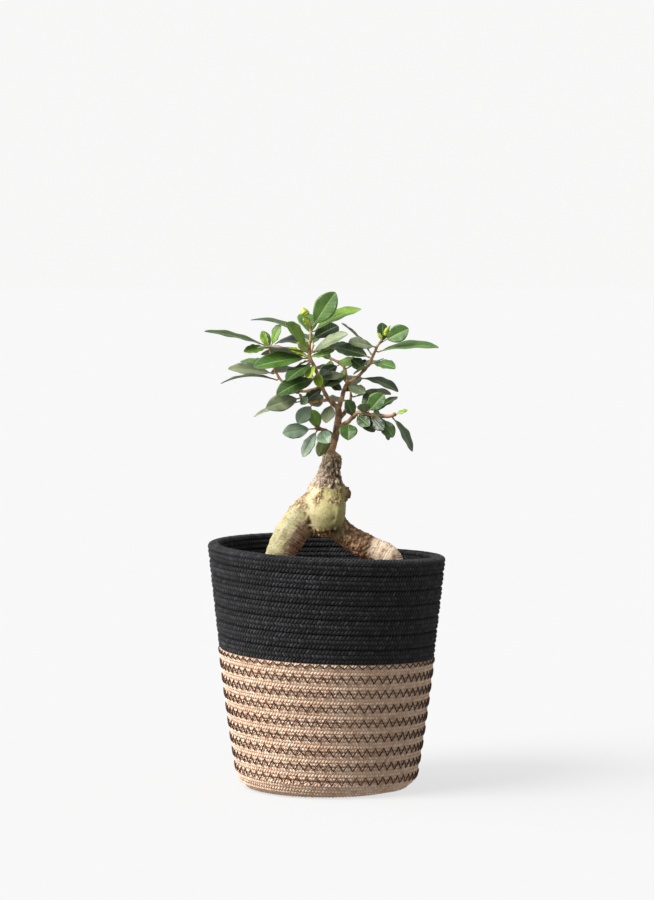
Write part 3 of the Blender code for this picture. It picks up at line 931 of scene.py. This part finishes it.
def makeRootstock():
    mesh = soften("rootstock", rootLook["grain"], rootLook["smoothing"])
    raw, facing = meshPoints(mesh), meshNormals(mesh)
    hollowness = ease(0.001, 0.014, creases(mesh))
    points = raw / mm - [0, 0, soilLevel]
    height = points[:, 2]
    limbs, weights = {}, {}
    for name, girth in rootLook["girths"].items():
        limbs[name] = nearestOnLine(points, rootLook[name])
        weights[name] = np.exp(-8 * limbs[name][0] / girth)
    total = sum(weights.values())
    neckShare = ease(73, 79, height + noiseAt(points, 4, 31) * 3)
    for name in weights:
        weights[name] = weights[name] / total * (1 - neckShare)
    weights["neck"] = weights["neck"] + neckShare
    sizes = ((14, 1), (5, 2), (1.3, 3), (0.7, 4))
    broad, medium, fine, grain = (noiseAt(points, size, seed) for size, seed in sizes)
    leftRun, rightRun = limbs["leftLeg"][1], limbs["rightLeg"][1]
    innerSide = ease(-0.35, 0.75, facing @ [0.75, -0.1, -0.65])

    # short wrinkles across the legs, most on their inner and lower sides
    lift = medium * 0.25 + broad * 0.4
    wrinkle = np.zeros(len(points))
    for name, run in (("leftLeg", leftRun), ("rightLeg", rightRun)):
        radial = points - limbs[name][2]
        across = np.stack([run / 1.25 + medium * 0.15, radial[:, 0] / 16, radial[:, 1] / 16], axis=1)
        patchy = ease(-0.2, 0.15, noiseAt(points, 3.6, 6) + 0.4 * innerSide - 0.1)
        line = cracks(across, 1.0, 5, 3.6) * patchy * (0.5 + 0.5 * innerSide)
        swing = 2 * math.pi * (run / 1.9 + medium * 0.45)
        dashes = ease(-0.1, 0.25, noiseAt(points * [1, 1, 1.6], 2.2, 15) + 0.5 * innerSide - 0.12)
        line = np.maximum(line, np.clip(np.cos(swing), 0, 1) ** 7 * dashes)
        wrinkle += line * weights[name]
        rings = noiseAt(np.stack([run / 3.6, radial[:, 0] / 60, radial[:, 1] / 60], axis=1), 1.0, 7)
        lift += weights[name] * (rings * 0.5 - line * 0.45)

    # bark: on the neck, in scales over the bulb's shoulders, and on the first part of the right leg
    shoulder = ease(60, 66, height + medium * 4) * (1 - weights["neck"])
    shoulder = shoulder * ease(-0.25, 0.2, noiseAt(points, 6, 12))
    pastBand = rightRun - rootLook["bandRun"] + medium * 1.5
    barkEnd = ease(-1.2, 0.6, pastBand)
    rough = np.clip(weights["neck"] + 0.7 * shoulder + 0.65 * (weights["rightLeg"] * (1 - barkEnd)), 0, 1)
    upright = points * [1, 1, 0.6]
    split = cracks(upright, 1.9, 8, 3.2)
    flake = ease(-0.1, 0.25, noiseAt(upright, 2.1, 9))
    curl = cracks(points, 2.8, 10, 4)
    lift += rough * (flake * 0.65 - split * 0.95 + fine * 0.35) + shoulder * curl * 0.6

    # the torn tips under the bulb, the small hollows, the knot, a chip and the crease beside the bulb
    tip = rootLook["tornTip"]
    gap = (points - tip["middle"]) / tip["reach"]
    torn = np.exp(-np.sum(gap ** 4, axis=1)) * ease(0.1, -0.6, facing[:, 1]) * (1 - weights["leftLeg"])
    flaps = np.clip(cracks(points * [1, 1, 0.2], 2.3, 14, 3.0) * 1.3, 0, 1)
    hollow = np.zeros(len(points))
    for place, size in rootLook["hollows"]:
        gap = np.linalg.norm((points - place) * [1, 0.5, 0.9], axis=1)
        hollow = np.maximum(hollow, fade(gap, size))
    knot = fade(np.linalg.norm(points - rootLook["knot"], axis=1), 4.4)
    lift += weights["bulb"] * ease(0.1, 0.9, facing[:, 0]) * 1.5
    lift += torn * (0.7 - flaps * 1.0) - hollow * 1.8 + knot * (fine * 0.9 + medium * 0.6 + 0.5)
    chip = fade(np.linalg.norm((points - rootLook["chip"]) * [1, 0.4, 0.7], axis=1), 1.0, 4)
    squash = np.array([1, 0.5, 1])
    crease = fade(nearestOnLine(points * squash, rootLook["crease"] * squash)[0], 1.5)
    crease *= ease(-0.35, 0.2, noiseAt(points, 2.4, 17))
    lift += chip * 1.6 - crease * 0.8 - hollowness * 0.5

    # the cut top of the neck is domed up to the grafted stem
    moved = raw + facing * (lift * mm)[:, None]
    spread = np.hypot(points[:, 0] - 3, points[:, 1]) / 7.2
    cap = ease(93.5, 96.8, height)
    moved[:, 2] += cap * (2.4 * (1 - spread ** 2) - 0.9 + 0.6 * medium) * mm
    movePoints(mesh, moved)

    # colours, limb by limb, then what lies over them all
    left = paint(
        tint(174, 168, 124),
        ((208, 188, 152), ease(-0.3, 0.35, innerSide + broad * 0.4 - 0.3)),
        ((206, 164, 138), ease(0.5, 0.95, innerSide + medium * 0.15)),
        ((226, 202, 176), ease(50, 66, leftRun + medium * 3) * 0.7))
    # on the bulb the side facing right is painted darker (160, 152, 96): painted shade, away from the light
    # on the left
    bulb = paint(
        tint(212, 196, 160),
        ((206, 196, 138), ease(-0.75, 0.0, facing[:, 0] + medium * 0.2)),
        ((160, 152, 96), ease(0.1, 0.85, facing[:, 0] + medium * 0.15) * 0.85),
        ((186, 182, 112), ease(0.0, 0.45, noiseAt(points, 3.5, 13)) * 0.5))
    toe = paint(
        tint(240, 220, 194),
        ((228, 198, 172), ease(-0.35, 0.4, medium)),
        ((218, 208, 160), ease(0.1, 0.5, broad) * 0.4),
        ((206, 160, 134), ease(0.3, 0.85, -facing[:, 2]) * 0.7))
    bark = paint(
        tint(120, 86, 56),
        ((200, 166, 126), flake),
        ((202, 152, 122), ease(0.1, 0.7, -facing[:, 2])))
    darkTop = ease(0.0, 0.6, facing[:, 2]) * ease(20, 27, rightRun) * (1 - barkEnd)
    right = paint(
        blendColours(bark, toe, barkEnd),
        ((72, 48, 32), np.clip(fade(pastBand, 1.5) * 0.55 + darkTop * (0.45 + 0.4 * split), 0, 0.9)))
    # painted light: the neck's side facing left is made paler, and its cracks and dark blotches fainter
    # there, as where the light falls
    paintedLightLeft = ease(0.35, -0.5, facing[:, 0] + medium * 0.5)
    neck = paint(
        tint(128, 104, 86),
        ((240, 222, 192), flake * 0.9),
        ((194, 174, 156), paintedLightLeft * 0.7),
        ((228, 204, 160), ease(91, 96, height + medium * 2) * 0.7))
    parts = (("leftLeg", left), ("rightLeg", right), ("bulb", bulb), ("neck", neck))
    colour = sum(shade * weights[name][:, None] for name, shade in parts)
    blotch = ease(0.12, 0.3, noiseAt(points, 3.6, 16)) * (1 - paintedLightLeft) * weights["neck"]
    colour = paint(
        colour,
        ((212, 188, 148), shoulder * flake * 0.7),
        ((150, 98, 56), shoulder * curl * 0.9),
        ((58, 38, 28), split * rough * (0.95 - 0.5 * paintedLightLeft * weights["neck"])),
        ((64, 42, 28), blotch * 0.75),
        ((112, 72, 44), np.clip(wrinkle * 1.1, 0, 0.85)),
        ((124, 98, 58), ease(0.36, 0.55, noiseAt(points, 0.9, 11)) * 0.5 * (1 - weights["neck"])),
        # painted shade: darker where the surface is hollow
        ((96, 62, 42), hollowness * 0.8),
        ((244, 206, 152), torn * 0.9),
        ((214, 132, 66), torn * ease(-0.2, 0.4, medium) * 0.7),
        ((84, 48, 26), torn * flaps * 0.8),
        # painted shade: darker along the crease where leg and bulb meet
        ((96, 60, 38), crease * 0.8),
        # painted shade: the small hollows are painted nearly black
        ((34, 22, 16), hollow * 0.95),
        ((244, 226, 196), chip * 0.9),
        ((84, 54, 36), knot * 0.85))
    colour = colour * (1 + 0.09 * fine + 0.06 * grain)[:, None]
    colour = paint(colour, ((92, 66, 46), (1 - ease(-2, 7, height + medium * 3)) * 0.6))
    storeColours(mesh, "barkColour", colour)
    storeValues(mesh, "roughBark", rough)
    newPiece("root_wood", mesh, barkFinish("rootBark", 260, 0.5), ["rootstock"])


def barkFinish(name, scale, roughness):
    # the colour is laid on the wood's own points; the nodes add pores, fibres and relief
    material, tree, place = newMaterial(name, roughness, Specular_IOR_Level=0.35)
    pores = place.speckle(scale * 4, 4, 0.7)
    fibre = newField(tree, "ShaderNodeMapping", Vector=place, Scale=(1, 1, 0.3))
    shade = pores.stretch(0.3, 0.7).between((0.86, 0.84, 0.80), (1.08, 1.07, 1.05))
    colour = readValue(tree, "barkColour", "Color").over(1.0, shade, "MULTIPLY")
    rough = readValue(tree, "roughBark")
    gloss = rough * 0.3 + pores.stretch(0.3, 0.7, 0.42, 0.58)
    relief = pores + fibre.speckle(scale * 2, 3) * (rough + 0.2)
    return finishMaterial(material, colour, relief, 0.35, 0.2, gloss)


makeRootstock()
print("rootstock grown")


leafLook = {
    "rows": 40,
    "columns": 7,             # each side of the midrib
    "thickness": 0.42,
    "fold": 0.2,              # rise of the edge over the midrib, per unit of width
    "stalkShare": 0.07,
    "stalkRadius": 0.5,
    "stalkReach": 0.21,       # share of the leaf it runs under
    "stalkSteps": 14,
    "stalkSides": 8,
    "veins": 9,
    "veinSlant": 0.20,
    "veinDepth": 0.07,
    "midribDepth": 0.28,
    "ripple": 0.35,
}
# "lit" and "dark" are the leaf green painted lighter and darker for leaves in the light and in shade: painted
# light and painted shade; "grey", "blue" and "pink" are greyed greens that paint the sheen of reflected
# light: painted reflection
tones = {
    "deep": tint(48, 78, 26), "dark": tint(34, 56, 22), "mid": tint(70, 108, 36), "lit": tint(112, 150, 44),
    "grey": tint(120, 130, 100), "blue": tint(120, 142, 122), "young": tint(150, 182, 42),
    "bud": tint(178, 196, 50), "pink": tint(146, 134, 120),
}
toneOf = {
    "mid": ["left_leaf_01", "left_leaf_09", "right_leaf_04", "right_leaf_06", "low_right_leaf_01",
            "low_right_leaf_07", "far_left_leaf_05", "left_leaf_13", "right_leaf_05"],
    "lit": ["left_leaf_02", "left_leaf_05", "far_left_leaf_02", "far_left_leaf_03", "back_leaf_03"],
    "grey": ["left_leaf_04", "left_leaf_12", "right_leaf_02", "back_leaf_01", "mid_left_leaf_01",
             "mid_left_leaf_02", "far_left_leaf_04"],
    "blue": ["low_left_leaf_01", "low_left_leaf_02", "low_left_leaf_03", "mid_left_leaf_03"],
    "pink": ["left_leaf_08"],
    "dark": ["left_leaf_03", "left_leaf_07", "right_leaf_01", "right_leaf_07", "back_leaf_02"],
}
# leaves too small for the frame: place from the graft, heading, rise, length, width, roll, bend, tone
smallLeaves = [
    # low, round the trunk
    ((-5.5, -9.0, 17.8), 126, 58, 15.5, 9, -32, 12, "lit"),
    ((0.9, -3.2, 14.9), 136, -60, 18, 9, 40, 14, "lit"),
    ((-2.5, -5.0, 40.0), -160, -30, 12, 10, -65, 12, "blue"),
    # the low right branch
    ((18.1, -7.5, 26.1), -150, 60, 13.5, 9.5, -84, 18, "deep"),
    ((21.0, -8.0, 26.0), -55, -24, 16, 9, 50, 12, "deep"),
    ((26.0, -10.0, 26.0), -100, 40, 12, 9, 10, 12, "mid"),
    ((30.0, -11.0, 25.5), -45, -38, 15, 9, 60, 12, "dark"),
    ((35.8, -15.8, 26.9), 46, -62, 18, 9, 80, 16, "dark"),
    ((38.0, -14.0, 25.0), -125, 18, 12, 8, -50, 12, "deep"),
    ((45.3, -18.0, 28.0), 10, 22, 9, 4.5, 30, 10, "young"),
    # the left branch, from its tip down
    ((-12.3, -8.0, 86.0), -170, 62, 8, 6, -60, 25, "bud"),
    ((-17.5, -8.5, 71.0), -120, 60, 7, 3.4, 40, 20, "bud"),
    ((-12.0, -8.0, 68.5), -140, 46, 11, 6.5, 40, 20, "bud"),
    ((-12.0, -8.0, 67.0), -160, 20, 15, 8.5, -30, 14, "bud"),
    ((-11.5, -7.5, 66.0), -25, 14, 19, 8, 40, 14, "lit"),
    ((-15.5, -8.0, 63.0), -150, -22, 12, 7.5, 20, 14, "lit"),
    ((-13.0, -8.0, 62.0), -166, -44, 18, 8, 20, 16, "blue"),
    ((-8.9, -7.1, 60.9), -98, -26, 18, 8.5, 20, 20, "young"),
    ((-9.0, -7.0, 57.0), 160, -20, 13, 8, -30, 14, "dark"),
    ((-7.0, -6.0, 56.0), -70, -50, 13, 7, 40, 16, "young"),
    ((-4.0, -2.0, 54.0), 60, 14, 15, 8, 20, 14, "dark"),
    ((-2.0, -3.0, 46.0), 34, 20, 13, 8, 20, 14, "dark"),
    ((-3.0, -4.0, 45.0), -140, -30, 17, 9, -20, 18, "dark"),
    # the short twig in front, and the far one on the left
    ((-18.0, -15.0, 41.0), 160, 48, 9, 6, -60, 12, "grey"),
    ((-17.5, -15.0, 40.0), -60, -24, 10, 7, 60, 12, "deep"),
    ((-38.5, 3.0, 72.0), 155, 60, 13, 7, -60, 14, "lit"),
    ((-39.0, 3.0, 73.0), 160, 74, 9, 3, 20, 30, "bud"),
    # the middle and the back
    ((13.1, 5.8, 46.7), -52, -14, 19, 9, 32, 14, "grey"),
    ((9.0, 10.0, 50.0), -160, -12, 18, 8.5, -50, 12, "grey"),
    ((10.0, 2.0, 44.0), 165, 30, 9, 6, -60, 14, "dark"),
    ((11.0, 4.5, 42.0), 20, 10, 16, 8.5, 30, 18, "deep"),
    ((12.0, 11.0, 57.0), 30, 20, 18, 9, -20, 20, "deep"),
    ((2.5, 20.0, 63.0), -100, -48, 11, 6.5, 0, 14, "lit"),
    ((3.0, 19.0, 63.0), 150, 34, 12, 7, -40, 14, "mid"),
    ((9.5, 12.0, 57.0), -100, -55, 9, 5, 20, 12, "lit"),
    # the right branch
    ((26.0, -1.0, 57.0), 170, 36, 12, 9, -60, 14, "deep"),
    ((28.0, -1.0, 60.5), -160, -25, 13, 8.5, 24, 20, "lit"),
    ((36.5, -6.0, 76.0), 84, 60, 15, 9.5, 30, 16, "deep"),
    ((37.0, -6.0, 77.0), 160, 60, 6, 2.8, -50, 25, "bud"),
]


def treeOf(node):
    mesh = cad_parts[node].data
    return BVHTree.FromPolygons([v.co for v in mesh.vertices], [p.vertices for p in mesh.polygons])


stemSurface = treeOf("stem")


def curveAt(factors, share):
    return sum(factor * share ** power for power, factor in enumerate(factors))


def endsOf(points, count=1):
    # where a leaf or bud leaves the wood, and its far tip
    gaps = [stemSurface.find_nearest(Vector(point))[3] for point in points]
    base = points[np.argsort(gaps)[:count]].mean(0)
    return base, points[int(np.argmax(np.linalg.norm(points - base, axis=1)))]


def readLeaf(node):
    # base, directions, size and arch of a leaf, from the corners of its CAD solid
    points = nodePoints(node)
    base, tip = endsOf(points)
    forward = unit(tip - base)
    length = np.linalg.norm(tip - base)
    rest = points - base
    rest = rest - np.outer(rest @ forward, forward)
    axes = np.linalg.eigh(rest.T @ rest - np.outer(rest.mean(0), rest.mean(0)) * len(rest))[1]
    side = unit(axes[:, 2] - forward * (axes[:, 2] @ forward))
    normal = np.cross(forward, side)
    along, sideways, height = ((points - base) @ axis for axis in (forward / length, side, normal))
    table = np.stack([np.ones_like(along), along, along ** 2, along ** 3, np.abs(sideways)], axis=1)
    fit = np.linalg.lstsq(table, height, rcond=None)[0]
    if fit[4] < 0:
        normal, side, fit, sideways = -normal, -side, -fit, -sideways
    sway = np.linalg.lstsq(table[:, :3], sideways, rcond=None)[0]
    return {
        "base": base, "forward": forward, "side": side, "normal": normal, "length": length,
        "halfWidth": np.abs(sideways - table[:, :3] @ sway).max(), "arch": fit[:4], "sway": sway,
    }


def drawnLeaf(place, heading, rise, length, width, roll, bend):
    # the same description for a small leaf, from its angles in degrees
    base = stemSurface.find_nearest(Vector((0, 0, graftLevel * mm)) + Vector(place) * mm)[0]
    turn, tip = math.radians(heading), math.radians(rise)
    forward = Vector((math.cos(turn) * math.cos(tip), math.sin(turn) * math.cos(tip), math.sin(tip)))
    up = Vector((0, 0, 1))
    up = (up - forward * up.dot(forward)).normalized()
    up = Matrix.Rotation(math.radians(roll), 3, forward) @ up
    sag = length * mm * math.tan(math.radians(bend) / 4) / 2
    return {
        "base": np.array(base), "forward": np.array(forward), "side": np.array(up.cross(forward)),
        "normal": np.array(up), "length": length * mm, "halfWidth": width / 2 * mm,
        "arch": np.array([0, 4 * sag, -4 * sag, 0]), "sway": np.zeros(3),
    }


def leafOutline(share):
    return np.sin(math.pi * np.clip(share, 0, 1) ** 1.16) ** 0.64


def makeLeaf(name, leaf, tone, seed, nodes=()):
    chance = random.Random(seed)
    rows, half, stalk = leafLook["rows"], leafLook["columns"], leafLook["stalkShare"]

    # the blade's middle sheet: along it, across it, and how high it stands
    share = (1 - np.cos(math.pi * np.arange(rows + 1) / rows)) / 2
    b, t = np.meshgrid(share, signedPower(np.arange(-half, half + 1) / half, 1.35), indexing="ij")
    outline, edge = leafOutline(b), np.abs(t)
    along = stalk + (1 - stalk) * b
    width = leaf["halfWidth"] * outline
    v = t * width * (1 + 0.05 * chance.uniform(-1, 1) * np.sign(t))
    height = curveAt(leaf["arch"], along) + leafLook["fold"] * (np.sqrt(v ** 2 + (0.5 * mm) ** 2) - 0.5 * mm)
    waves, start = chance.uniform(2.2, 3.6), chance.uniform(0, 6.3)
    swell = np.sin(2 * math.pi * waves * b + start + 1.5 * np.sign(t))
    height = height + leafLook["ripple"] * mm * swell * edge ** 2.5 * np.sin(math.pi * b)
    height = height - 0.5 * mm * edge ** 3 * outline * chance.uniform(0.2, 1.4)

    # sunken veins and midrib, and the thickness
    phase = leafLook["veins"] * (b - leafLook["veinSlant"] * edge)
    vein = np.maximum(0, np.cos(2 * math.pi * phase)) ** 4 * np.sin(math.pi * np.clip(edge, 0.0, 1)) ** 0.5
    vein = vein * ease(0.03, 0.15, b) * (1 - ease(0.85, 0.98, b)) * leafLook["veinDepth"] * mm
    rib = fade(v, 0.42 * mm) * (1 - 0.6 * b) * leafLook["midribDepth"] * mm
    thick = leafLook["thickness"] * mm * (1 - t ** 4) * np.minimum(1, width / (1.2 * mm))

    def place(along, sideways, level):
        return (leaf["base"] + along[..., None] * leaf["length"] * leaf["forward"]
                + sideways[..., None] * leaf["side"] + level[..., None] * leaf["normal"])

    sheets = [place(along, v + curveAt(leaf["sway"], along), level)
              for level in (height - rib - vein, height - thick - rib * 1.5 - vein)]
    rimPoints = (sheets[0][:, [0, -1]] + sheets[1][:, [0, -1]]) / 2
    for sheet in sheets:
        sheet[:, [0, -1]] = rimPoints
    for end in (0, -1):
        sheets[0][end] = sheets[1][end] = (sheets[0][end, half] + sheets[1][end, half]) / 2
    columns = 2 * half + 1
    count = (rows + 1) * columns
    faces = gridFaces(rows + 1, columns)
    faces += [face[::-1] for face in gridFaces(rows + 1, columns, start=count)]

    # the stalk, from inside the twig to a little way under the blade
    along = np.linspace(0, leafLook["stalkReach"], leafLook["stalkSteps"])
    middle = place(along, curveAt(leaf["sway"], along), curveAt(leaf["arch"], along) - 0.25 * mm)
    touch, outside = stemSurface.find_nearest(Vector(middle[0]))[:2]
    inside = np.array(touch) - np.array(outside) * 0.9 * mm
    middle = np.concatenate([inside + (middle[0] - inside) * np.linspace(0, 1, 4)[:-1, None], middle])
    steps, around = len(middle), leafLook["stalkSides"]
    girth = leafLook["stalkRadius"] * mm * min(1, leaf["length"] / (22 * mm))
    radius = girth * (1.15 - 0.75 * np.linspace(0, 1, steps) ** 2)
    angles = roundAngles(around)[None, :, None]
    ring = np.cos(angles) * leaf["side"] + np.sin(angles) * leaf["normal"]
    tube = middle[:, None] + radius[:, None, None] * ring
    faces += tubeFaces(steps, around, start=2 * count)
    points = np.concatenate([part.reshape(-1, 3) for part in (*sheets, tube)])
    mesh = newMesh(name, points, faces)

    # what the finish reads: place on the blade, underside, stalk and tone
    stalkPoints = steps * around
    blade = np.stack([b.ravel(), t.ravel() / 2 + 0.5], axis=1)
    flat = np.concatenate([blade, blade, [[0, 0.5]] * stalkPoints])
    layer = mesh.uv_layers.new(name="leafUv")
    corner = np.empty(len(mesh.loops), np.int32)
    mesh.loops.foreach_get("vertex_index", corner)
    layer.data.foreach_set("uv", flat[corner].astype(np.float32).ravel())
    storeValues(mesh, "under", np.repeat([0, 1, 0.6], [count, count, stalkPoints]))
    storeValues(mesh, "stalk", np.repeat([0, 1], [2 * count, stalkPoints]))
    shade = np.array(tones[tone]) * (1 + chance.uniform(-0.12, 0.12))
    storeColours(mesh, "leafColour", np.tile(shade, (len(points), 1)))
    newPiece(name, closeUp(mesh), waxyLeaf, nodes)


def leafFinish():
    material, tree, place = newMaterial("waxyLeaf", 0.34, Specular_IOR_Level=0.5, Coat_Weight=0.12,
                                        Coat_Roughness=0.3)
    flat = newField(tree, "ShaderNodeUVMap", {"uv_map": "leafUv"})
    along, sideways = (newField(tree, "ShaderNodeSeparateXYZ", None, axis, Vector=flat) for axis in (0, 1))
    edge = (sideways * 2.0 - 1.0).reckon("ABSOLUTE")
    under = readValue(tree, "under")
    cloud = place.speckle(110, 3)
    patchy = cloud.stretch(0.3, 0.7).between((0.66, 0.74, 0.62), (1.28, 1.2, 1.14))
    waves = ((along - edge * leafLook["veinSlant"]) * (2 * math.pi * leafLook["veins"])).reckon("COSINE")
    veins = waves.stretch(0.72, 1.0)
    colour = readValue(tree, "leafColour", "Color").over(1.0, patchy, "MULTIPLY")
    colour = colour.over(veins * 0.14, tint(140, 165, 105))
    colour = colour.over((1.0 - edge.stretch(0.02, 0.09)) * 0.42, tint(172, 190, 128))
    colour = colour.over(edge.stretch(0.94, 1.0) * 0.45, tint(186, 196, 150))
    colour = colour.over(under * 0.9, colour.over(0.5, tint(160, 164, 136)))
    colour = colour.over(readValue(tree, "stalk") * 0.85, tint(150, 146, 84))
    shine = cloud.stretch(0.3, 0.7, 0.36, 0.5) + under * 0.2
    return finishMaterial(material, colour, place.speckle(900, 3) * 0.5 - veins * 0.6, 0.35, 0.12, shine)


def budFinish():
    material, tree, place = newMaterial("freshBud", 0.38, Specular_IOR_Level=0.5)
    cloud = place.speckle(500, 3)
    colour = cloud.between(tint(132, 160, 32), tint(196, 206, 72))
    colour = colour.over(readValue(tree, "tip") * 0.5, tint(206, 170, 92))
    return finishMaterial(material, colour, cloud, 0.3, 0.15)


budLook = {
    "rows": 30,
    "around": 20,
    "winding": 2.4,                         # half turns of the seam round the bud
    "seamDepth": 0.22,
    "longer": {"bud_top": (0.72, 1.9)},     # share of the length, and how much fatter
}


def makeBud(node):
    # a rolled young leaf: a pointed horn with a seam winding round it
    points = nodePoints(node)
    base, tip = endsOf(points, 6)
    forward = unit(tip - base)
    longer, fatter = budLook["longer"].get(node, (1, 1))
    length = np.linalg.norm(tip - base) * longer
    girth = np.linalg.norm(np.cross(points - base, forward), axis=1).max() * fatter
    side = unit(np.cross(forward, [0.3, 1.0, 0.2]))
    other = np.cross(forward, side)
    rows, around = budLook["rows"], budLook["around"]
    share = np.linspace(0, 1, rows + 1)
    girths = girth * np.sin(math.pi * (0.14 + 0.86 * share) ** 0.8) ** 0.9
    curl = 0.10 * length * np.sin(math.pi * share * 0.9)
    middle = base + (share * 1.12 - 0.12)[:, None] * length * forward + (curl[:, None] - curl[0]) * side
    s, a = np.meshgrid(share, roundAngles(around), indexing="ij")
    fromSeam = np.mod(a - budLook["winding"] * s * math.pi + math.pi, 2 * math.pi) - math.pi
    reach = girths[:, None] * (1 - budLook["seamDepth"] * fade(fromSeam, 0.35))
    grid = middle[:, None] + reach[..., None] * (np.cos(a)[..., None] * side + np.sin(a)[..., None] * other)
    mesh = newMesh(node, grid.reshape(-1, 3), tubeFaces(rows + 1, around))
    storeValues(mesh, "tip", s.ravel() ** 3)
    newPiece(f"{node}_horn", closeUp(mesh), freshBud, [node])


waxyLeaf = leafFinish()
freshBud = budFinish()
toneByLeaf = {leaf: tone for tone, names in toneOf.items() for leaf in names}
leafBases = []
for order, node in enumerate(sorted(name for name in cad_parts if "_leaf_" in name)):
    leaf = readLeaf(node)
    leafBases.append(leaf["base"])
    makeLeaf(f"{node}_blade", leaf, toneByLeaf.get(node, "deep"), 100 + order, [node])
for order, (*drawing, tone) in enumerate(smallLeaves):
    leaf = drawnLeaf(*drawing)
    leafBases.append(leaf["base"])
    makeLeaf(f"small_leaf_{order + 1:02d}", leaf, tone, 300 + order)
for node in sorted(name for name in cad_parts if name.startswith("bud_")):
    makeBud(node)
print("leaves and buds grown")


stemLook = {
    "grain": 0.32,
    "smoothing": 1,
    "jointReach": 1.5,
    "jointLift": 0.3,
    "trunkLift": 0.5,          # the old wood is thicker below the fork
    "footDrop": 0.7,
}


def makeStem():
    mesh = soften("stem", stemLook["grain"], stemLook["smoothing"])
    raw, facing = meshPoints(mesh), meshNormals(mesh)
    points = raw / mm
    height = points[:, 2] - graftLevel
    joints = KDTree(len(leafBases))
    for index, base in enumerate(leafBases):
        joints.insert(Vector(base), index)
    joints.balance()
    gap = np.array([joints.find(Vector(point))[2] for point in raw]) / mm
    joint = fade(gap, stemLook["jointReach"])
    medium, fine = noiseAt(points, 3.0, 21), noiseAt(points, 0.8, 22)
    ring = cracks(points * [0.35, 0.35, 1], 1.5, 23, 5)
    lift = medium * 0.12 + fine * 0.05 + joint * stemLook["jointLift"] - ring * 0.06
    lift += stemLook["trunkLift"] * (1 - ease(24, 44, height)) * (1 + 0.6 * medium)
    foot = 1 - ease(0.5, 4, height)
    moved = raw + facing * (lift * mm)[:, None]
    moved[:, 2] -= (1 - ease(0.2, 2.0, height)) * stemLook["footDrop"] * mm
    movePoints(mesh, moved)
    old = (1 - ease(24, 46, height)) * (0.35 + 0.5 * ease(-0.2, 0.4, noiseAt(points, 6, 24)))
    colour = paint(
        tint(216, 176, 132),
        ((158, 120, 86), ease(-0.3, 0.45, medium)),
        ((142, 142, 78), ease(66, 88, height) * 0.7),
        ((100, 74, 62), old),
        ((88, 60, 44), np.clip(joint * 0.45 + ring * 0.25, 0, 0.8)),
        ((176, 150, 120), foot * 0.5))
    storeColours(mesh, "barkColour", colour * (1 + 0.14 * fine)[:, None])
    storeValues(mesh, "roughBark", 0.5 + 0.3 * foot)
    newPiece("branch_wood", mesh, barkFinish("branchBark", 420, 0.6), ["stem"])


makeStem()
print("stem and twigs grown")
